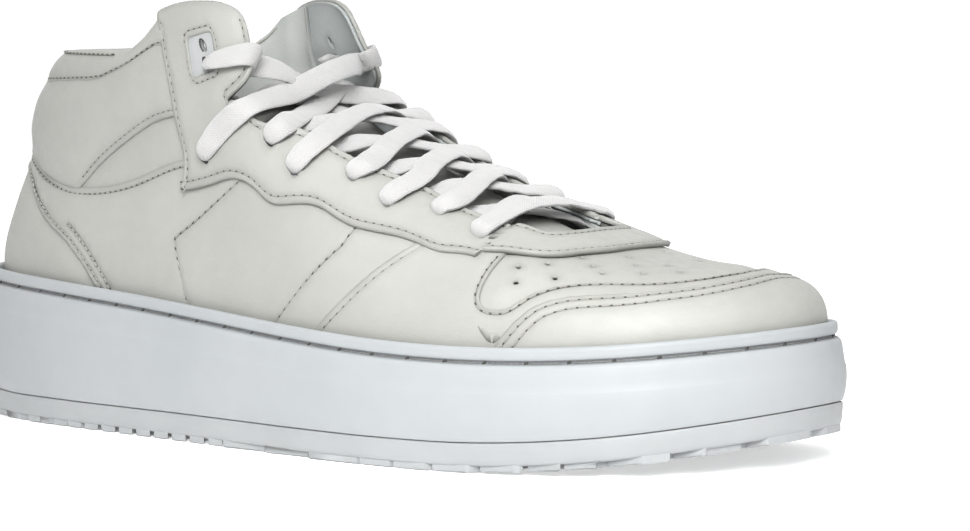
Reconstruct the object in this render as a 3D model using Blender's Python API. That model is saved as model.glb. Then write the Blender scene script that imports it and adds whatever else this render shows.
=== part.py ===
"""Mid-height court sneaker, right shoe, as an assembly of its separate pieces.

Lengths are millimetres until a mesh is made.  +X points to the toe, +Y to the inner (medial) side and +Z up,
with the ground at z = 0 and the origin under the middle of the sole.

Every piece of the upper lies on one surface, upper(a, t, out):
  a    runs round the shoe, -1 at the toe, by the outer (lateral) side to 0 at the heel, by the medial side to 1
  t    runs up the wall, 0 just inside the lip of the sole and 1 at the crest; below 0 it drops 1 mm per 0.01
  out  is the distance outside the surface, negative inside
"""

import bmesh
import bpy
import numpy as np

MM = 0.001
WELD = 1e-6

# ---- driving dimensions -----------------------------------------------------------------------------------------
LATERAL_OUTLINE = [(-151, -0.5), (-143, -26.5), (-120, -38), (-85, -44), (-45, -48.5), (-5, -54),
                   (35, -58.5), (65, -57.5), (92, -52), (115, -43), (134, -28.5), (147, -9)]
MEDIAL_OUTLINE = [(151, 10), (147, 28), (134, 43), (114, 52), (88, 55.5), (55, 54), (15, 49),
                  (-30, 44), (-75, 42), (-115, 39), (-141, 26.5)]
UPPER_INSET = 6.5          # the upper stands this far inside the widest line of the sole
HEEL_CENTRE, TOE_CENTRE = -98, 108
FLAT_HEEL, FLAT_BALL = -115, 60
TOE_SPRING, HEEL_BEVEL = 9.0, 3.0

LIP_HEIGHT = [(-150, 48.0), (-60, 43), (60, 35.5), (100, 36.0), (152, 40.5)]
CREST_HEIGHT = [(-150, 215), (-90, 210), (-60, 196), (-45, 178), (-32, 156), (-20, 133), (-10, 115), (0, 102),
                (12, 92.5), (25, 84.5), (40, 77.5), (60, 70.4), (80, 62.9), (95, 58.1), (110, 55.6), (130, 54.4),
                (150, 51.5)]
CREST_SIDEWAYS = [(-150, 0), (-40, 0), (20, 0), (60, 1.5), (110, 5), (150, 8)]
FULLNESS = [(-150, 3.4), (-50, 3.4), (0, 3.0), (60, 2.7), (110, 3.6), (150, 2.5)]
ANKLE_WAIST = [(40, 1.0), (60, 0.985), (75, 0.945), (90, 0.915), (105, 0.905), (120, 0.915), (140, 0.93)]
HEEL_LEAN = [(38, 0), (50, 0.5), (65, 3.2), (80, 8.4), (95, 11.2), (105, 14.2), (112, 19.5), (120, 27.5), (130, 37)]

BOARD_BELOW_LIP = 18.0     # underside of the lasting board
UPPER_FOOT = -0.12         # t of the lower edge of the pieces that go down inside the sole
BASE = (-1.6, 0.0)         # inner and outer face of each layer, as distances outside the surface
OVERLAY = (1.1, 2.4)
EYESTAY_LAYER = (1.4, 2.8)
PATCH_LAYER = (3.5, 4.3)
STIFFENER = (-3.4, -2.5)
LINING_DEPTH, LINING_THICK = 4.4, 1.2
COLLAR_PADDING = 4.8       # how much deeper the lining lies behind the padded collar

# Seam heights along the side, (x of the feather line, z), the same on both sides of the shoe.
COLLAR_SEAM = [(-145, 87), (-132, 82.7), (-120, 78.4), (-105, 75.1), (-96, 74.4), (-82, 75.1), (-64, 78.7),
               (-46, 84)]
ANKLE_SEAM = [(-96, 74.4), (-86, 82), (-70.5, 90), (-58, 95), (-50.5, 97)]
BINDING_SEAM = [(-145, 106), (-122, 107), (-101, 107.5), (-91, 108.2), (-73, 113.3), (-58, 118.5)]
COLLAR_TOP = [(-145, 117.5), (-80, 117.3), (-68, 120.6), (-59.5, 123.6)]
EYESTAY_SEAM = [(-45, 76), (-41, 75.2), (-30, 77.3), (-23, 79), (-18.5, 78.8), (-13, 76.9), (-6, 72.8), (0, 72),
                (10, 72), (17, 69.3), (25.5, 66.2), (42.5, 63.2), (55, 59.9), (66, 59), (79, 59.6)]
TOE_PANEL_SEAM = [(72.5, 46.5), (80, 45.4), (83, 46.5), (86, 49.2), (89, 50.8), (94, 51.9), (104, 52.5),
                  (120, 52.5), (131, 53.3), (145, 55)]
MUDGUARD_SEAM = [(79, 37.5), (86, 43.1), (89, 46.1), (92, 47.5), (99, 48.9), (114, 49.5), (124, 50.5), (145, 53.8)]
HEEL_SEAM = [(-145, 84), (-133, 76), (-124, 70.9), (-111, 63.5), (-102, 59.2), (-94, 54.8), (-84, 49)]

QUARTER_FRONT = 79
HEEL_SEAM_HALF = 0.0012      # half the gap between the two sides at the heel, as a
EYELETS = [(-34.3, 85.2), (-11, 90.3), (-0.7, 81.5), (16, 79.6), (30, 72.2), (45, 69.5), (61.5, 63.5)]
THROAT_EDGE = [(-27.6, 101.3), (-22, 100), (-17, 95.5), (-4.3, 93.4), (8.5, 86.8), (22, 81.1), (37, 75.4),
               (54, 69.3), (68.7, 65.4)]
PATCH_EYELETS = [(-38.4, 118.2), (-36.6, 112.8)]
EYELET_RADIUS, PATCH_EYELET_RADIUS = 2.6, 2.05
LACE_RADIUS = 1.3
LACE_OVER, LACE_UNDER = 5.8, -4.4

# Tongue stations: x, height of the middle, half width, how much lower its edges lie.
TONGUE = [(76, 60.5, 12, 2), (66, 62.2, 17, 4.5), (54, 66, 22, 7.5), (40, 70.5, 26, 10), (26, 75.5, 28, 11.5),
          (12, 81, 29.5, 13), (-2, 88.5, 30, 14), (-14, 95.5, 28.5, 14), (-25, 102, 26, 13), (-35, 107.5, 24, 11)]
TONGUE_HINGE = (76, 0, 57)

# Columns of the meshes along each side, as x of the feather line.  The heel and toe tips are added to them.
COLUMNS = [-143.6, -140.5, -134, -124, -112, -98, -84, -70, -59, -52, -44, -30, -16, -2, 14, 30, 46, 62, 72, 79, 86,
           90, 95, 103, 113, 123, 132, 139, 143]

LEATHER = ((0.80, 0.79, 0.75), 0.55)
LINING = ((0.62, 0.62, 0.58), 0.8)
RUBBER = ((0.84, 0.86, 0.88), 0.45)
FOAM = ((0.85, 0.83, 0.75), 0.9)
BOARD = ((0.70, 0.66, 0.58), 0.9)
COTTON = ((0.90, 0.90, 0.89), 0.9)
PLASTIC = ((0.85, 0.86, 0.86), 0.3)


# ---- curves -----------------------------------------------------------------------------------------------------
def spline(points):
    """Natural cubic spline y(x) through the points."""
    x, y = np.array(points, float).T
    gap = np.diff(x)
    size = len(x)
    rows, right = np.eye(size), np.zeros(size)
    for i in range(1, size - 1):
        rows[i, i - 1:i + 2] = gap[i - 1], 2 * (gap[i - 1] + gap[i]), gap[i]
        right[i] = 6 * ((y[i + 1] - y[i]) / gap[i] - (y[i] - y[i - 1]) / gap[i - 1])
    bend = np.linalg.solve(rows, right)

    def value(at):
        i = np.clip(np.searchsorted(x, at) - 1, 0, size - 2)
        h = x[i + 1] - x[i]
        p, q = (x[i + 1] - at) / h, (at - x[i]) / h
        return p * y[i] + q * y[i + 1] + ((p**3 - p) * bend[i] + (q**3 - q) * bend[i + 1]) * h * h / 6

    return value


def steps(points):
    """Straight stretches z(x) through the points."""
    x, y = np.array(points, float).T
    return lambda at: np.interp(at, x, y)


def closed_curve(points, count=720):
    """Smooth closed curve through the points."""
    p = np.array(points, float)
    run = np.vstack([p[-3:], p, p[:4]])
    along = np.concatenate([[0], np.cumsum(np.linalg.norm(np.diff(run, axis=0), axis=1) ** 0.5)])
    at = np.linspace(along[3], along[3 + len(p)], count, endpoint=False)
    return np.column_stack([spline(np.column_stack([along, run[:, k]]))(at) for k in (0, 1)])


def smoothstep(x, low, high):
    u = np.clip((x - low) / (high - low), 0, 1)
    return u * u * (3 - 2 * u)


def by_arc(points, normals, count=361):
    """Points and normals of one side, evenly spaced along it."""
    along = np.concatenate([[0], np.cumsum(np.linalg.norm(np.diff(points, axis=0), axis=1))])
    at = np.linspace(0, along[-1], count)
    return np.column_stack([np.interp(at, along, column) for column in np.hstack([points, normals]).T])


def sole_outline():
    """Rows of a, x, y and the outward normal along the widest line of the sole, from the toe round to the toe."""
    curve = closed_curve(LATERAL_OUTLINE + MEDIAL_OUTLINE)
    along = np.roll(curve, -1, 0) - np.roll(curve, 1, 0)
    normal = np.column_stack([along[:, 1], -along[:, 0]]) / np.linalg.norm(along, axis=1)[:, None]
    normal *= np.sign((normal * curve).sum(1).mean())
    heel = int(np.argmin(curve[:, 0]))
    curve, normal = np.roll(curve, -heel, 0), np.roll(normal, -heel, 0)
    toe = int(np.argmax(curve[:, 0]))
    lateral = by_arc(curve[:toe + 1], normal[:toe + 1])
    medial = by_arc(np.vstack([curve[toe:], curve[:1]])[::-1], np.vstack([normal[toe:], normal[:1]])[::-1])
    rows = np.vstack([lateral[::-1], medial[1:]])
    return np.column_stack([np.linspace(-1, 1, len(rows)), rows])


OUTLINE = sole_outline()
LIP, CREST, SIDEWAYS = spline(LIP_HEIGHT), spline(CREST_HEIGHT), spline(CREST_SIDEWAYS)
FULL, WAIST, LEAN = spline(FULLNESS), spline(ANKLE_WAIST), spline(HEEL_LEAN)


def outline(a, inset):
    """Point (x, y) this far inside the widest line of the sole."""
    a = (np.asarray(a, float) + 1) % 2 - 1
    x, y, nx, ny = (np.interp(a, OUTLINE[:, 0], OUTLINE[:, k]) for k in (1, 2, 3, 4))
    size = np.hypot(nx, ny)
    return np.stack([x - inset * nx / size, y - inset * ny / size], -1)


def a_at(x, side):
    """Where the feather line has this x, on side -1 (lateral) or 1 (medial)."""
    row = OUTLINE[:361] if side < 0 else OUTLINE[360:]
    feather = outline(row[:, 0], UPPER_INSET)[:, 0]
    feather[[0, -1]] = outline(row[[0, -1], 0] * 0.999999, UPPER_INSET)[:, 0]
    order = np.argsort(feather)
    return float(np.interp(x, feather[order], row[order, 0]))


def spine(x):
    """The crest line's x behind each x of the feather line: it stops short of the heel and the toe."""
    soft = 9
    x = TOE_CENTRE - soft * np.log1p(np.exp((TOE_CENTRE - x) / soft))
    return HEEL_CENTRE + soft * np.log1p(np.exp((x - HEEL_CENTRE) / soft))


def wall_base(a):
    return LIP(outline(a, UPPER_INSET)[..., 0]) - 4


def skin(a, t):
    """Point of the upper's surface."""
    foot = outline(a, UPPER_INSET)
    x = spine(foot[..., 0])
    centre = np.stack([x, SIDEWAYS(x)], -1)
    rise = np.sin(np.pi / 2 * np.clip(t, 0, 1))
    base = wall_base(a)
    z = base + (CREST(x) - base) * rise + 100 * np.minimum(t, 0)
    reach = np.sqrt(np.maximum(1 - rise ** FULL(x), 0))
    reach = reach * (1 + (WAIST(np.maximum(z, 40)) - 1) * (1 - smoothstep(x, -45, 25)))
    point = centre + (foot - centre) * reach[..., None]
    lean = LEAN(np.clip(z, 38, 140)) * smoothstep(-point[..., 0], 50, 135)
    return np.stack([point[..., 0] + lean, point[..., 1], z], -1)


def upper(a, t, out=0.0):
    """Point this far outside the upper's surface."""
    a, t = np.broadcast_arrays(np.asarray(a, float), np.asarray(t, float))
    small = 1e-4
    near = np.clip(t, -1, 0.995)
    across = skin(a + small, near) - skin(a - small, near)
    up = skin(a, near + small) - skin(a, near - small)
    normal = np.cross(up, across)
    x = spine(outline(a, UPPER_INSET)[..., 0])
    crest = np.stack([-(CREST(x + 0.5) - CREST(x - 0.5)), np.zeros_like(x), np.ones_like(x)], -1)
    normal = np.where((t > 0.999)[..., None], crest, normal)
    normal /= np.linalg.norm(normal, axis=-1)[..., None]
    return skin(a, t) + normal * np.asarray(out, float)[..., None]


def level(a, z):
    """t of this height on the wall."""
    base = wall_base(a)
    if z < base:
        return (z - base) / 100
    share = (z - base) / (CREST(spine(outline(a, UPPER_INSET)[..., 0])) - base)
    return float(np.arcsin(min(share, 1)) * 2 / np.pi)


def on_side(x, z, side, out):
    a = a_at(x, side)
    return upper(a, level(a, z), out)


# ---- solids -----------------------------------------------------------------------------------------------------
def material(name, look):
    colour, roughness = look
    made = bpy.data.materials.new(name)
    made.use_nodes = True
    shader = made.node_tree.nodes["Principled BSDF"]
    shader.inputs["Base Color"].default_value = (*colour, 1)
    shader.inputs["Roughness"].default_value = roughness
    shader.inputs["Metallic"].default_value = 0
    return made


def make_object(name, mesh, look, origin=(0, 0, 0)):
    made = bpy.data.objects.new(name, mesh)
    made.location = [MM * v for v in origin]
    mesh.materials.append(material(name + "_material", look))
    bpy.context.scene.collection.objects.link(made)
    return made


def solid(name, loops, look, caps=(True, True), crested=None, origin=(0, 0, 0)):
    """Closed solid through a row of loops with the same number of points, whose second half runs back beside the
    first.  A cap is a strip across the loop; a tip, where the two halves meet, has none.  Where crested is set the
    loop's two middle points lie on the crest, and the other side of the shoe closes the solid there."""
    mesh = bmesh.new()
    rows = [[mesh.verts.new((np.array(p) - origin) * MM) for p in loop] for loop in loops]
    count = len(rows[0])
    half = count // 2
    crested = crested or [False] * len(rows)
    for i, (near, far) in enumerate(zip(rows, rows[1:])):
        for j in range(count):
            if j == half - 1 and crested[i] and crested[i + 1]:
                continue
            k = (j + 1) % count
            mesh.faces.new((near[j], far[j], far[k], near[k]))
    for row, capped in zip((rows[0], rows[-1]), caps):
        for j in range(half - 1 if capped else 0):
            mesh.faces.new((row[j], row[j + 1], row[count - 2 - j], row[count - 1 - j]))
    bmesh.ops.remove_doubles(mesh, verts=mesh.verts, dist=WELD)
    bmesh.ops.recalc_face_normals(mesh, faces=mesh.faces)
    data = bpy.data.meshes.new(name)
    mesh.to_mesh(data)
    mesh.free()
    data.shade_smooth()
    data.set_sharp_from_angle(angle=0.6)
    return make_object(name, data, look, origin)


def ring_solid(name, look, rings):
    """Solid of the sole: rings are (inset, height above the ground at x), from the lower face round to the upper."""
    tips = [0.0] + COLUMNS + [1.0]
    loops = []
    for x in tips:
        pair = (x, x) if x in (0.0, 1.0) else (a_at(x, -1), a_at(x, 1))
        sides = []
        for a in pair:
            places = [outline(a, inset) for inset, _ in rings]
            sides.append([(p[0], p[1], height(p[0])) for p, (_, height) in zip(places, rings)])
        loops.append(sides[0] + sides[1][::-1])
    return solid(name, loops, look, caps=(False, False))


def side_columns(start, end, side):
    """Values of a along one side between two x, at the shared columns."""
    inner = [x for x in COLUMNS if min(start, end) + 0.5 < x < max(start, end) - 0.5]
    return [a_at(x, side) for x in [min(start, end)] + inner + [max(start, end)]]


def from_heel(end, side):
    """Values of a along one side from the seam down the middle of the heel."""
    return [side * HEEL_SEAM_HALF] + side_columns(COLUMNS[0], end, side)


def round_heel(end):
    """Values of a from this x on the lateral side, round the heel, to the same x on the medial side."""
    lateral = side_columns(COLUMNS[0], end, -1)
    medial = side_columns(COLUMNS[0], end, 1)
    return lateral[::-1] + [0.0] + medial


def round_toe(start):
    """Values of a from this x on the lateral side, round the toe, to the same x on the medial side."""
    lateral = side_columns(start, COLUMNS[-1], -1)
    medial = side_columns(start, COLUMNS[-1], 1)
    return lateral + [-1.0] + [a - 2 for a in medial[::-1]]


def feather_x(a):
    return float(outline(a, UPPER_INSET)[0])


def wall_loop(a, heights, layer):
    """Loop of a sheet on the wall: up its outer face through these t, and down its inner face."""
    inner, outer = layer
    outside = [upper(a, t, outer) for t in heights]
    inside = [upper(a, t, inner) for t in heights]
    return outside + inside[::-1]


def wall_sheet(name, look, columns, low, high, layer, rows=3, shares=None):
    """Sheet between two seams.  low and high give t at each a, and t of 1 is on the crest."""
    shares = shares or [i / rows for i in range(rows + 1)]
    loops, crested = [], []
    for a in columns:
        bottom, top = low(a), high(a)
        face = layer(a) if callable(layer) else layer
        loops.append(wall_loop(a, [bottom + (top - bottom) * s for s in shares], face))
        crested.append(top >= 1)
    return solid(name, loops, look, crested=crested)


def seam(points, lift=0.0):
    """t of a seam given by its heights along the side."""
    height = steps(points)
    return lambda a: level(a, float(height(feather_x(a))) + lift)


# ---- sole -------------------------------------------------------------------------------------------------------
def ground(x):
    toe = max(0.0, (x - FLAT_BALL) / 90)
    heel = max(0.0, (FLAT_HEEL - x) / 36)
    return TOE_SPRING * toe**2 + HEEL_BEVEL * heel**2


def above_ground(rise):
    return lambda x: ground(x) + rise


def below_lip(drop):
    return lambda x: float(LIP(x)) - drop


def wall_middle(x):
    return 0.5 * (ground(x) + 12.5 + float(LIP(x)) - 13)


def make_sole():
    ring_solid("outsole", RUBBER, [(4.0, above_ground(0)), (1.4, above_ground(2.2)), (1.0, above_ground(8.2))])
    ring_solid("cupsole", RUBBER, [
        (1.5, above_ground(8.6)), (0.3, above_ground(12.5)), (0.0, wall_middle), (0.3, below_lip(13)),
        (1.8, below_lip(5.2)), (3.3, below_lip(4.1)), (2.8, below_lip(3)), (2.9, below_lip(0.8)),
        (3.8, below_lip(0)), (5.0, below_lip(0)), (5.6, below_lip(0.7)), (5.6, above_ground(12))])
    ring_solid("midsole_filler", FOAM, [(6.2, above_ground(12.4)), (6.2, below_lip(BOARD_BELOW_LIP + 0.4))])
    ring_solid("lasting_board", BOARD, [(7.0, below_lip(BOARD_BELOW_LIP)), (7.0, below_lip(BOARD_BELOW_LIP - 1.6))])
    ring_solid("footbed", FOAM, [(12.8, below_lip(BOARD_BELOW_LIP - 2.1)), (12.8, below_lip(BOARD_BELOW_LIP - 7))])


# ---- upper ------------------------------------------------------------------------------------------------------
def foot_edge(_a):
    return UPPER_FOOT


def crest(_a):
    return 1.0


def lip_edge(a):
    return level(a, wall_base(a) + 4.6)


def lining_depth(a, z):
    """How far inside the surface the lining's outer face lies: deeper behind the padded collar."""
    padded = 1 - smoothstep(feather_x(a), -76, -52)
    return LINING_DEPTH + COLLAR_PADDING * float(padded * smoothstep(z, 68, 82))


def lining_sheet(name, columns, high):
    loops = []
    for a in columns:
        top = high(a)
        depths = []
        for share in (0, 0.3, 0.5, 0.68, 0.84, 1):
            t = UPPER_FOOT + (top - UPPER_FOOT) * share
            depth = lining_depth(a, float(skin(a, t)[2]))
            depths.append((upper(a, t, -depth), upper(a, t, -depth - LINING_THICK)))
        loops.append([outer for outer, _ in depths] + [inner for _, inner in depths][::-1])
    return solid(name, loops, LINING)


def side_of(name):
    return -1 if name == "lateral" else 1


def quarter_top(a):
    """Top of the quarter and of its lining: under the collar behind, and under the eyestay in front."""
    x = feather_x(a)
    points = [p for p in COLLAR_SEAM if p[0] < -50] + [(-50, 81)] + EYESTAY_SEAM
    return level(a, float(steps(points)(x)) - 0.6)


def collar_lining_top(a):
    x = feather_x(a)
    if x > -60:
        points = [(-60, 113.4), (-52.5, 82)] + EYESTAY_SEAM
        return level(a, float(steps(points)(x)) - 1)
    return level(a, float(steps(COLLAR_TOP)(x)) - 9.8)


def make_quarters():
    for name in ("lateral", "medial"):
        side = side_of(name)
        columns = from_heel(QUARTER_FRONT - 0.7, side)
        wall_sheet(name + "_quarter", LEATHER, columns, foot_edge, quarter_top, BASE, rows=4)
        lining_sheet(name + "_quarter_lining", columns, collar_lining_top)


def make_toe():
    full = [0, 0.107, 0.33, 0.55, 0.75, 0.9, 1]
    columns = round_toe(QUARTER_FRONT)
    wall_sheet("vamp", LEATHER, columns, foot_edge, crest, BASE, shares=full)
    inner = (-LINING_DEPTH - LINING_THICK, -LINING_DEPTH)
    wall_sheet("vamp_lining", LINING, columns, foot_edge, crest, inner, shares=full)
    wall_sheet("toe_puff", BOARD, round_toe(113), foot_edge, crest, STIFFENER, shares=full)
    wall_sheet("mudguard", LEATHER, round_toe(QUARTER_FRONT), lip_edge, seam(MUDGUARD_SEAM, -0.5), OVERLAY, rows=2)
    wall_sheet("toe_panel", LEATHER, round_toe(72.5), seam(TOE_PANEL_SEAM, 0.5), toe_panel_top, OVERLAY,
               shares=[0, 0.35, 0.7, 1])


def toe_panel_top(a):
    """Under the edge of the eyestay behind, and over the crest in front of it."""
    x = feather_x(a)
    return 1.0 if x > 93 else float(np.interp(x, [72, 79, 86, 90], [0.54, 0.62, 0.68, 0.74]))


def make_heel():
    sides = round_heel(-84)
    wall_sheet("heel_foxing", LEATHER, sides, lip_edge, seam(HEEL_SEAM), OVERLAY, rows=2)
    wall_sheet("heel_counter", BOARD, sides, foot_edge, seam([(-145, 68), (-84, 64)]), STIFFENER, rows=3)


def make_collar():
    def panel_low(a):
        x = feather_x(a)
        points = COLLAR_SEAM if x < -96 else ANKLE_SEAM
        return level(a, float(steps(points)(x)) + 0.4)

    def foam_layer(a):
        return (-lining_depth(a, 95) + 0.3, -2.1)

    binding = steps(BINDING_SEAM)
    top = steps(COLLAR_TOP)
    for name in ("lateral", "medial"):
        side = side_of(name)
        wall_sheet(name + "_collar_panel", LEATHER, from_heel(-57, side), panel_low,
                   lambda a: level(a, float(binding(feather_x(a))) - 0.5), BASE)
        wall_sheet(name + "_ankle_panel", LEATHER, side_columns(-94, -52, side), seam(COLLAR_SEAM, 0.2),
                   seam(ANKLE_SEAM, -0.4), BASE, rows=2)
        wall_sheet(name + "_collar_foam", FOAM, from_heel(-62, side), lambda a: level(a, 92),
                   lambda a: level(a, float(top(feather_x(a))) - 2.8), foam_layer)
    loops = []
    for a in round_heel(-60):
        low, high = float(binding(feather_x(a))), float(top(feather_x(a)))
        depth = lining_depth(a, 100)
        section = [(0, low), (0, high - 1.2), (-1, high), (-depth - 1, high), (-depth - 2, high - 1),
                   (-depth - 2, high - 9), (-depth - 0.3, high - 9), (-depth - 0.3, high - 2),
                   (-depth + 0.4, high - 1.8), (-2, high - 1.8), (-1.6, high - 2.4), (-1.6, low)]
        loops.append([upper(a, level(a, z), out) for out, z in section])
    solid("collar_binding", loops, LEATHER)


# ---- eyestay, eyelets and lace ----------------------------------------------------------------------------------
def eyestay_spokes():
    """Pairs of (x, z) or (x, t): the throat edge and the outer edge, from the top of the ankle flap to the front."""
    return [
        ((-29.5, 128), (-57.5, 127.5)), ((-24.5, 120), (-55.5, 119)), ((-21, 111), (-53.5, 111)),
        ((-23, 105), (-51.5, 104)), ((-27.6, 101.3), (-49.5, 97)), ((-22, 100), (-46.5, 87)),
        ((-17, 95.5), (-44.5, 76)), ((-11, 94.6), (-30, 77.3)), ((-4.3, 93.4), (-18.5, 78.8)),
        ((2, 90), (-6, 72.8)), ((8.5, 86.8), (3, 72)), ((22, 81.1), (17, 69.3)), ((37, 75.4), (30, 65)),
        ((46, 72.2), (44, 62.9)), ((54, 69.3), (55, 59.9)), ((63, 66.6), (68, 59)), ((69.5, 65.2), (77, 59.4)),
        ((74.5, 64.8), (85, 60.4))]


def make_eyestay():
    spokes = [[(a_at(x, -1), level(a_at(x, -1), z)) for x, z in pair] for pair in eyestay_spokes()]
    bridge = [[(a_at(77, -1), 0.88), (a_at(90.5, -1), 0.80)], [(a_at(78, -1), 1.0), (a_at(93, -1), 1.0)]]
    mirrored = [[(a_at(x, 1), level(a_at(x, 1), z)) for x, z in pair] for pair in eyestay_spokes()]
    front = [[(a_at(77, 1), 0.88), (a_at(90.5, 1), 0.80)]]
    arms = spokes + bridge + front + mirrored[::-1]
    solid("eyestay", [spoke_loop(*pair, EYESTAY_LAYER) for pair in arms], LEATHER)
    solid("lateral_eyestay_lining", [spoke_loop(*pair, BASE, 1.0) for pair in spokes[:-1]], LINING)
    solid("medial_eyestay_lining", [spoke_loop(*pair, BASE, 1.0) for pair in mirrored[:-1]], LINING)


def spoke_loop(inner, outer, layer, trim=0.0):
    """Loop across an arm of the eyestay.  trim keeps its outer edge clear of the piece that butts against it."""
    (a0, t0), (a1, t1) = inner, outer
    run = np.linalg.norm(upper(a1, t1) - upper(a0, t0))
    shares = np.array([0, 0.5, 1]) * (1 - trim / run)
    low, high = layer
    places = [(a0 + (a1 - a0) * s, t0 + (t1 - t0) * s) for s in shares]
    return [upper(a, t, high) for a, t in places] + [upper(a, t, low) for a, t in places][::-1]


def make_patches():
    """Small plates round the two eyelets of each ankle flap."""
    corners = [((-45, 120.5), (-35, 122.5)), ((-43, 114.8), (-33.3, 117)), ((-41, 109), (-31.7, 111.3))]
    for name in ("lateral", "medial"):
        loops = []
        for rear, front in corners:
            places = [rear, ((rear[0] + front[0]) / 2, (rear[1] + front[1]) / 2), front]
            low, high = ([on_side(x, z, side_of(name), out) for x, z in places] for out in PATCH_LAYER)
            loops.append(high + low[::-1])
        solid(name + "_eyelet_patch", loops, PLASTIC)


def eyelet_cutter():
    """Round bars through every eyelet of the pieces that the lace passes."""
    mesh = bmesh.new()
    holes = [(place, EYELET_RADIUS) for place in EYELETS] + [(place, PATCH_EYELET_RADIUS) for place in PATCH_EYELETS]
    for (x, z), radius in holes:
        for side in (-1, 1):
            ends = [on_side(x, z, side, out) for out in (-4, 7)]
            axis = (ends[1] - ends[0]) / np.linalg.norm(ends[1] - ends[0])
            across = np.cross(axis, (1, 0, 0))
            across /= np.linalg.norm(across)
            turned = np.cross(axis, across)
            angles = np.arange(8) * np.pi / 4
            discs = [[mesh.verts.new((end + radius * (np.cos(g) * across + np.sin(g) * turned)) * MM) for g in angles]
                     for end in ends]
            mesh.faces.new(discs[0])
            mesh.faces.new(discs[1][::-1])
            for j in range(len(angles)):
                k = (j + 1) % len(angles)
                mesh.faces.new((discs[0][j], discs[0][k], discs[1][k], discs[1][j]))
    bmesh.ops.recalc_face_normals(mesh, faces=mesh.faces)
    data = bpy.data.meshes.new("eyelet_cutter")
    mesh.to_mesh(data)
    mesh.free()
    cutter = make_object("eyelet_cutter", data, PLASTIC)
    cutter.hide_render = True
    cutter.display_type = "WIRE"
    return cutter


def punch_eyelets():
    cutter = eyelet_cutter()
    for name in ("eyestay", "lateral_eyestay_lining", "medial_eyestay_lining", "lateral_eyelet_patch",
                 "medial_eyelet_patch"):
        cut = bpy.data.objects[name].modifiers.new("eyelets", "BOOLEAN")
        cut.operation = "DIFFERENCE"
        cut.solver = "EXACT"
        cut.object = cutter


def lace_line(x):
    """Height of the laces over the middle of the throat."""
    return float(np.interp(x, [-30, -20, 0, 20, 40, 60, 75], [110, 105, 93.5, 84, 76.5, 70, 67]))


def throat_point(x, side, out):
    return on_side(x, float(steps(THROAT_EDGE)(x)), side, out)


def through_hole(x, z, side):
    return [on_side(x, z, side, out) for out in (LACE_UNDER, 0.6, LACE_OVER)]


def half_lace(side):
    """Route from the middle of the front bar, up one side and then across from row to row, to an ankle flap."""
    x, z = EYELETS[6]
    route = [throat_point(x - 1, side, LACE_OVER)] + through_hole(x, z, side)[::-1]
    under = True
    for row in range(6, 0, -1):
        (x, _), (next_x, next_z) = EYELETS[row], EYELETS[row - 1]
        lift = 3.2 if side < 0 else -1.2
        middle = 0.5 * (x + next_x)
        route.append(throat_point(x - 1 - 3 * under, side, LACE_UNDER if under else LACE_OVER))
        route.append(np.array([middle, 0, lace_line(middle) + lift]))
        side = -side
        route.append(throat_point(max(next_x + 5, -19), side, LACE_UNDER))
        route += through_hole(next_x, next_z, side)
        under = False
    route.append(throat_point(-16, side, LACE_OVER))
    lift = 5 if side < 0 else 0
    route.append(np.array([-19, 0, 105.5 + lift]))
    side = -side
    x, z = PATCH_EYELETS[1]
    route.append(on_side(-17.5, 109, side, 0))
    route.append(on_side(-25, 111.5, side, LACE_OVER + 0.6))
    return route + [on_side(x, z, side, out) for out in (LACE_OVER + 0.8, 2, LACE_UNDER)]


def through(points, spacing, turn=0.8):
    """Points along a smooth curve through the route, closer together where it turns."""
    points = np.array(points)
    along = np.concatenate([[0], np.cumsum(np.linalg.norm(np.diff(points, axis=0), axis=1) ** 0.5)])
    fine = np.linspace(0, along[-1], 40 * len(points))
    curve = np.column_stack([spline(np.column_stack([along, points[:, k]]))(fine) for k in range(3)])
    step = np.diff(curve, axis=0)
    length = np.linalg.norm(step, axis=1)
    ahead = step / length[:, None]
    bend = np.arccos(np.clip((ahead[1:] * ahead[:-1]).sum(1), -1, 1))
    pace = np.concatenate([[0], np.cumsum(length / spacing + np.append(bend, 0) / turn)])
    at = np.linspace(0, pace[-1], int(np.ceil(pace[-1])) + 1)
    return np.column_stack([np.interp(at, pace, curve[:, k]) for k in range(3)])


def tube(name, points, radius, look):
    """Round cord along the points, with closed ends."""
    curve = bpy.data.curves.new(name, "CURVE")
    curve.dimensions = "3D"
    curve.bevel_depth = radius * MM
    curve.bevel_resolution = 0
    curve.use_fill_caps = True
    line = curve.splines.new("POLY")
    line.points.add(len(points) - 1)
    for place, point in zip(line.points, points):
        place.co = (*(np.array(point) * MM), 1)
    return make_object(name, curve, look)


def tail_route(side):
    """The free end of the lace, from the ankle flap's eyelet down inside the shoe."""
    x, z = PATCH_EYELETS[1]
    start = on_side(x, z, side, LACE_UNDER)
    inward = start - on_side(x, z, side, 0)
    inward /= np.linalg.norm(inward)
    return [start + 0.5 * inward, start + 2.5 * inward, np.array([-40, side * 27.5, 108]),
            np.array([-42.5, side * 26.5, 98]), np.array([-44, side * 26, 84]), np.array([-44.5, side * 26, 70])]


def make_lace():
    front = [np.array([EYELETS[6][0] - 1, 0, lace_line(EYELETS[6][0]) + 1.5])]
    route = half_lace(-1)[::-1] + front + half_lace(1)
    tube("lace", through(route, 14), LACE_RADIUS, COTTON)
    for name in ("lateral", "medial"):
        route = tail_route(side_of(name))
        tube(name + "_lace_tail", through(route, 6), LACE_RADIUS, COTTON)
        tip = route[-1] + np.array([0, 0, -0.3])
        tube(name + "_aglet", [tip, tip + (0, 0, -10), tip + (0, 0, -20)], LACE_RADIUS + 0.2, PLASTIC)


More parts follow.
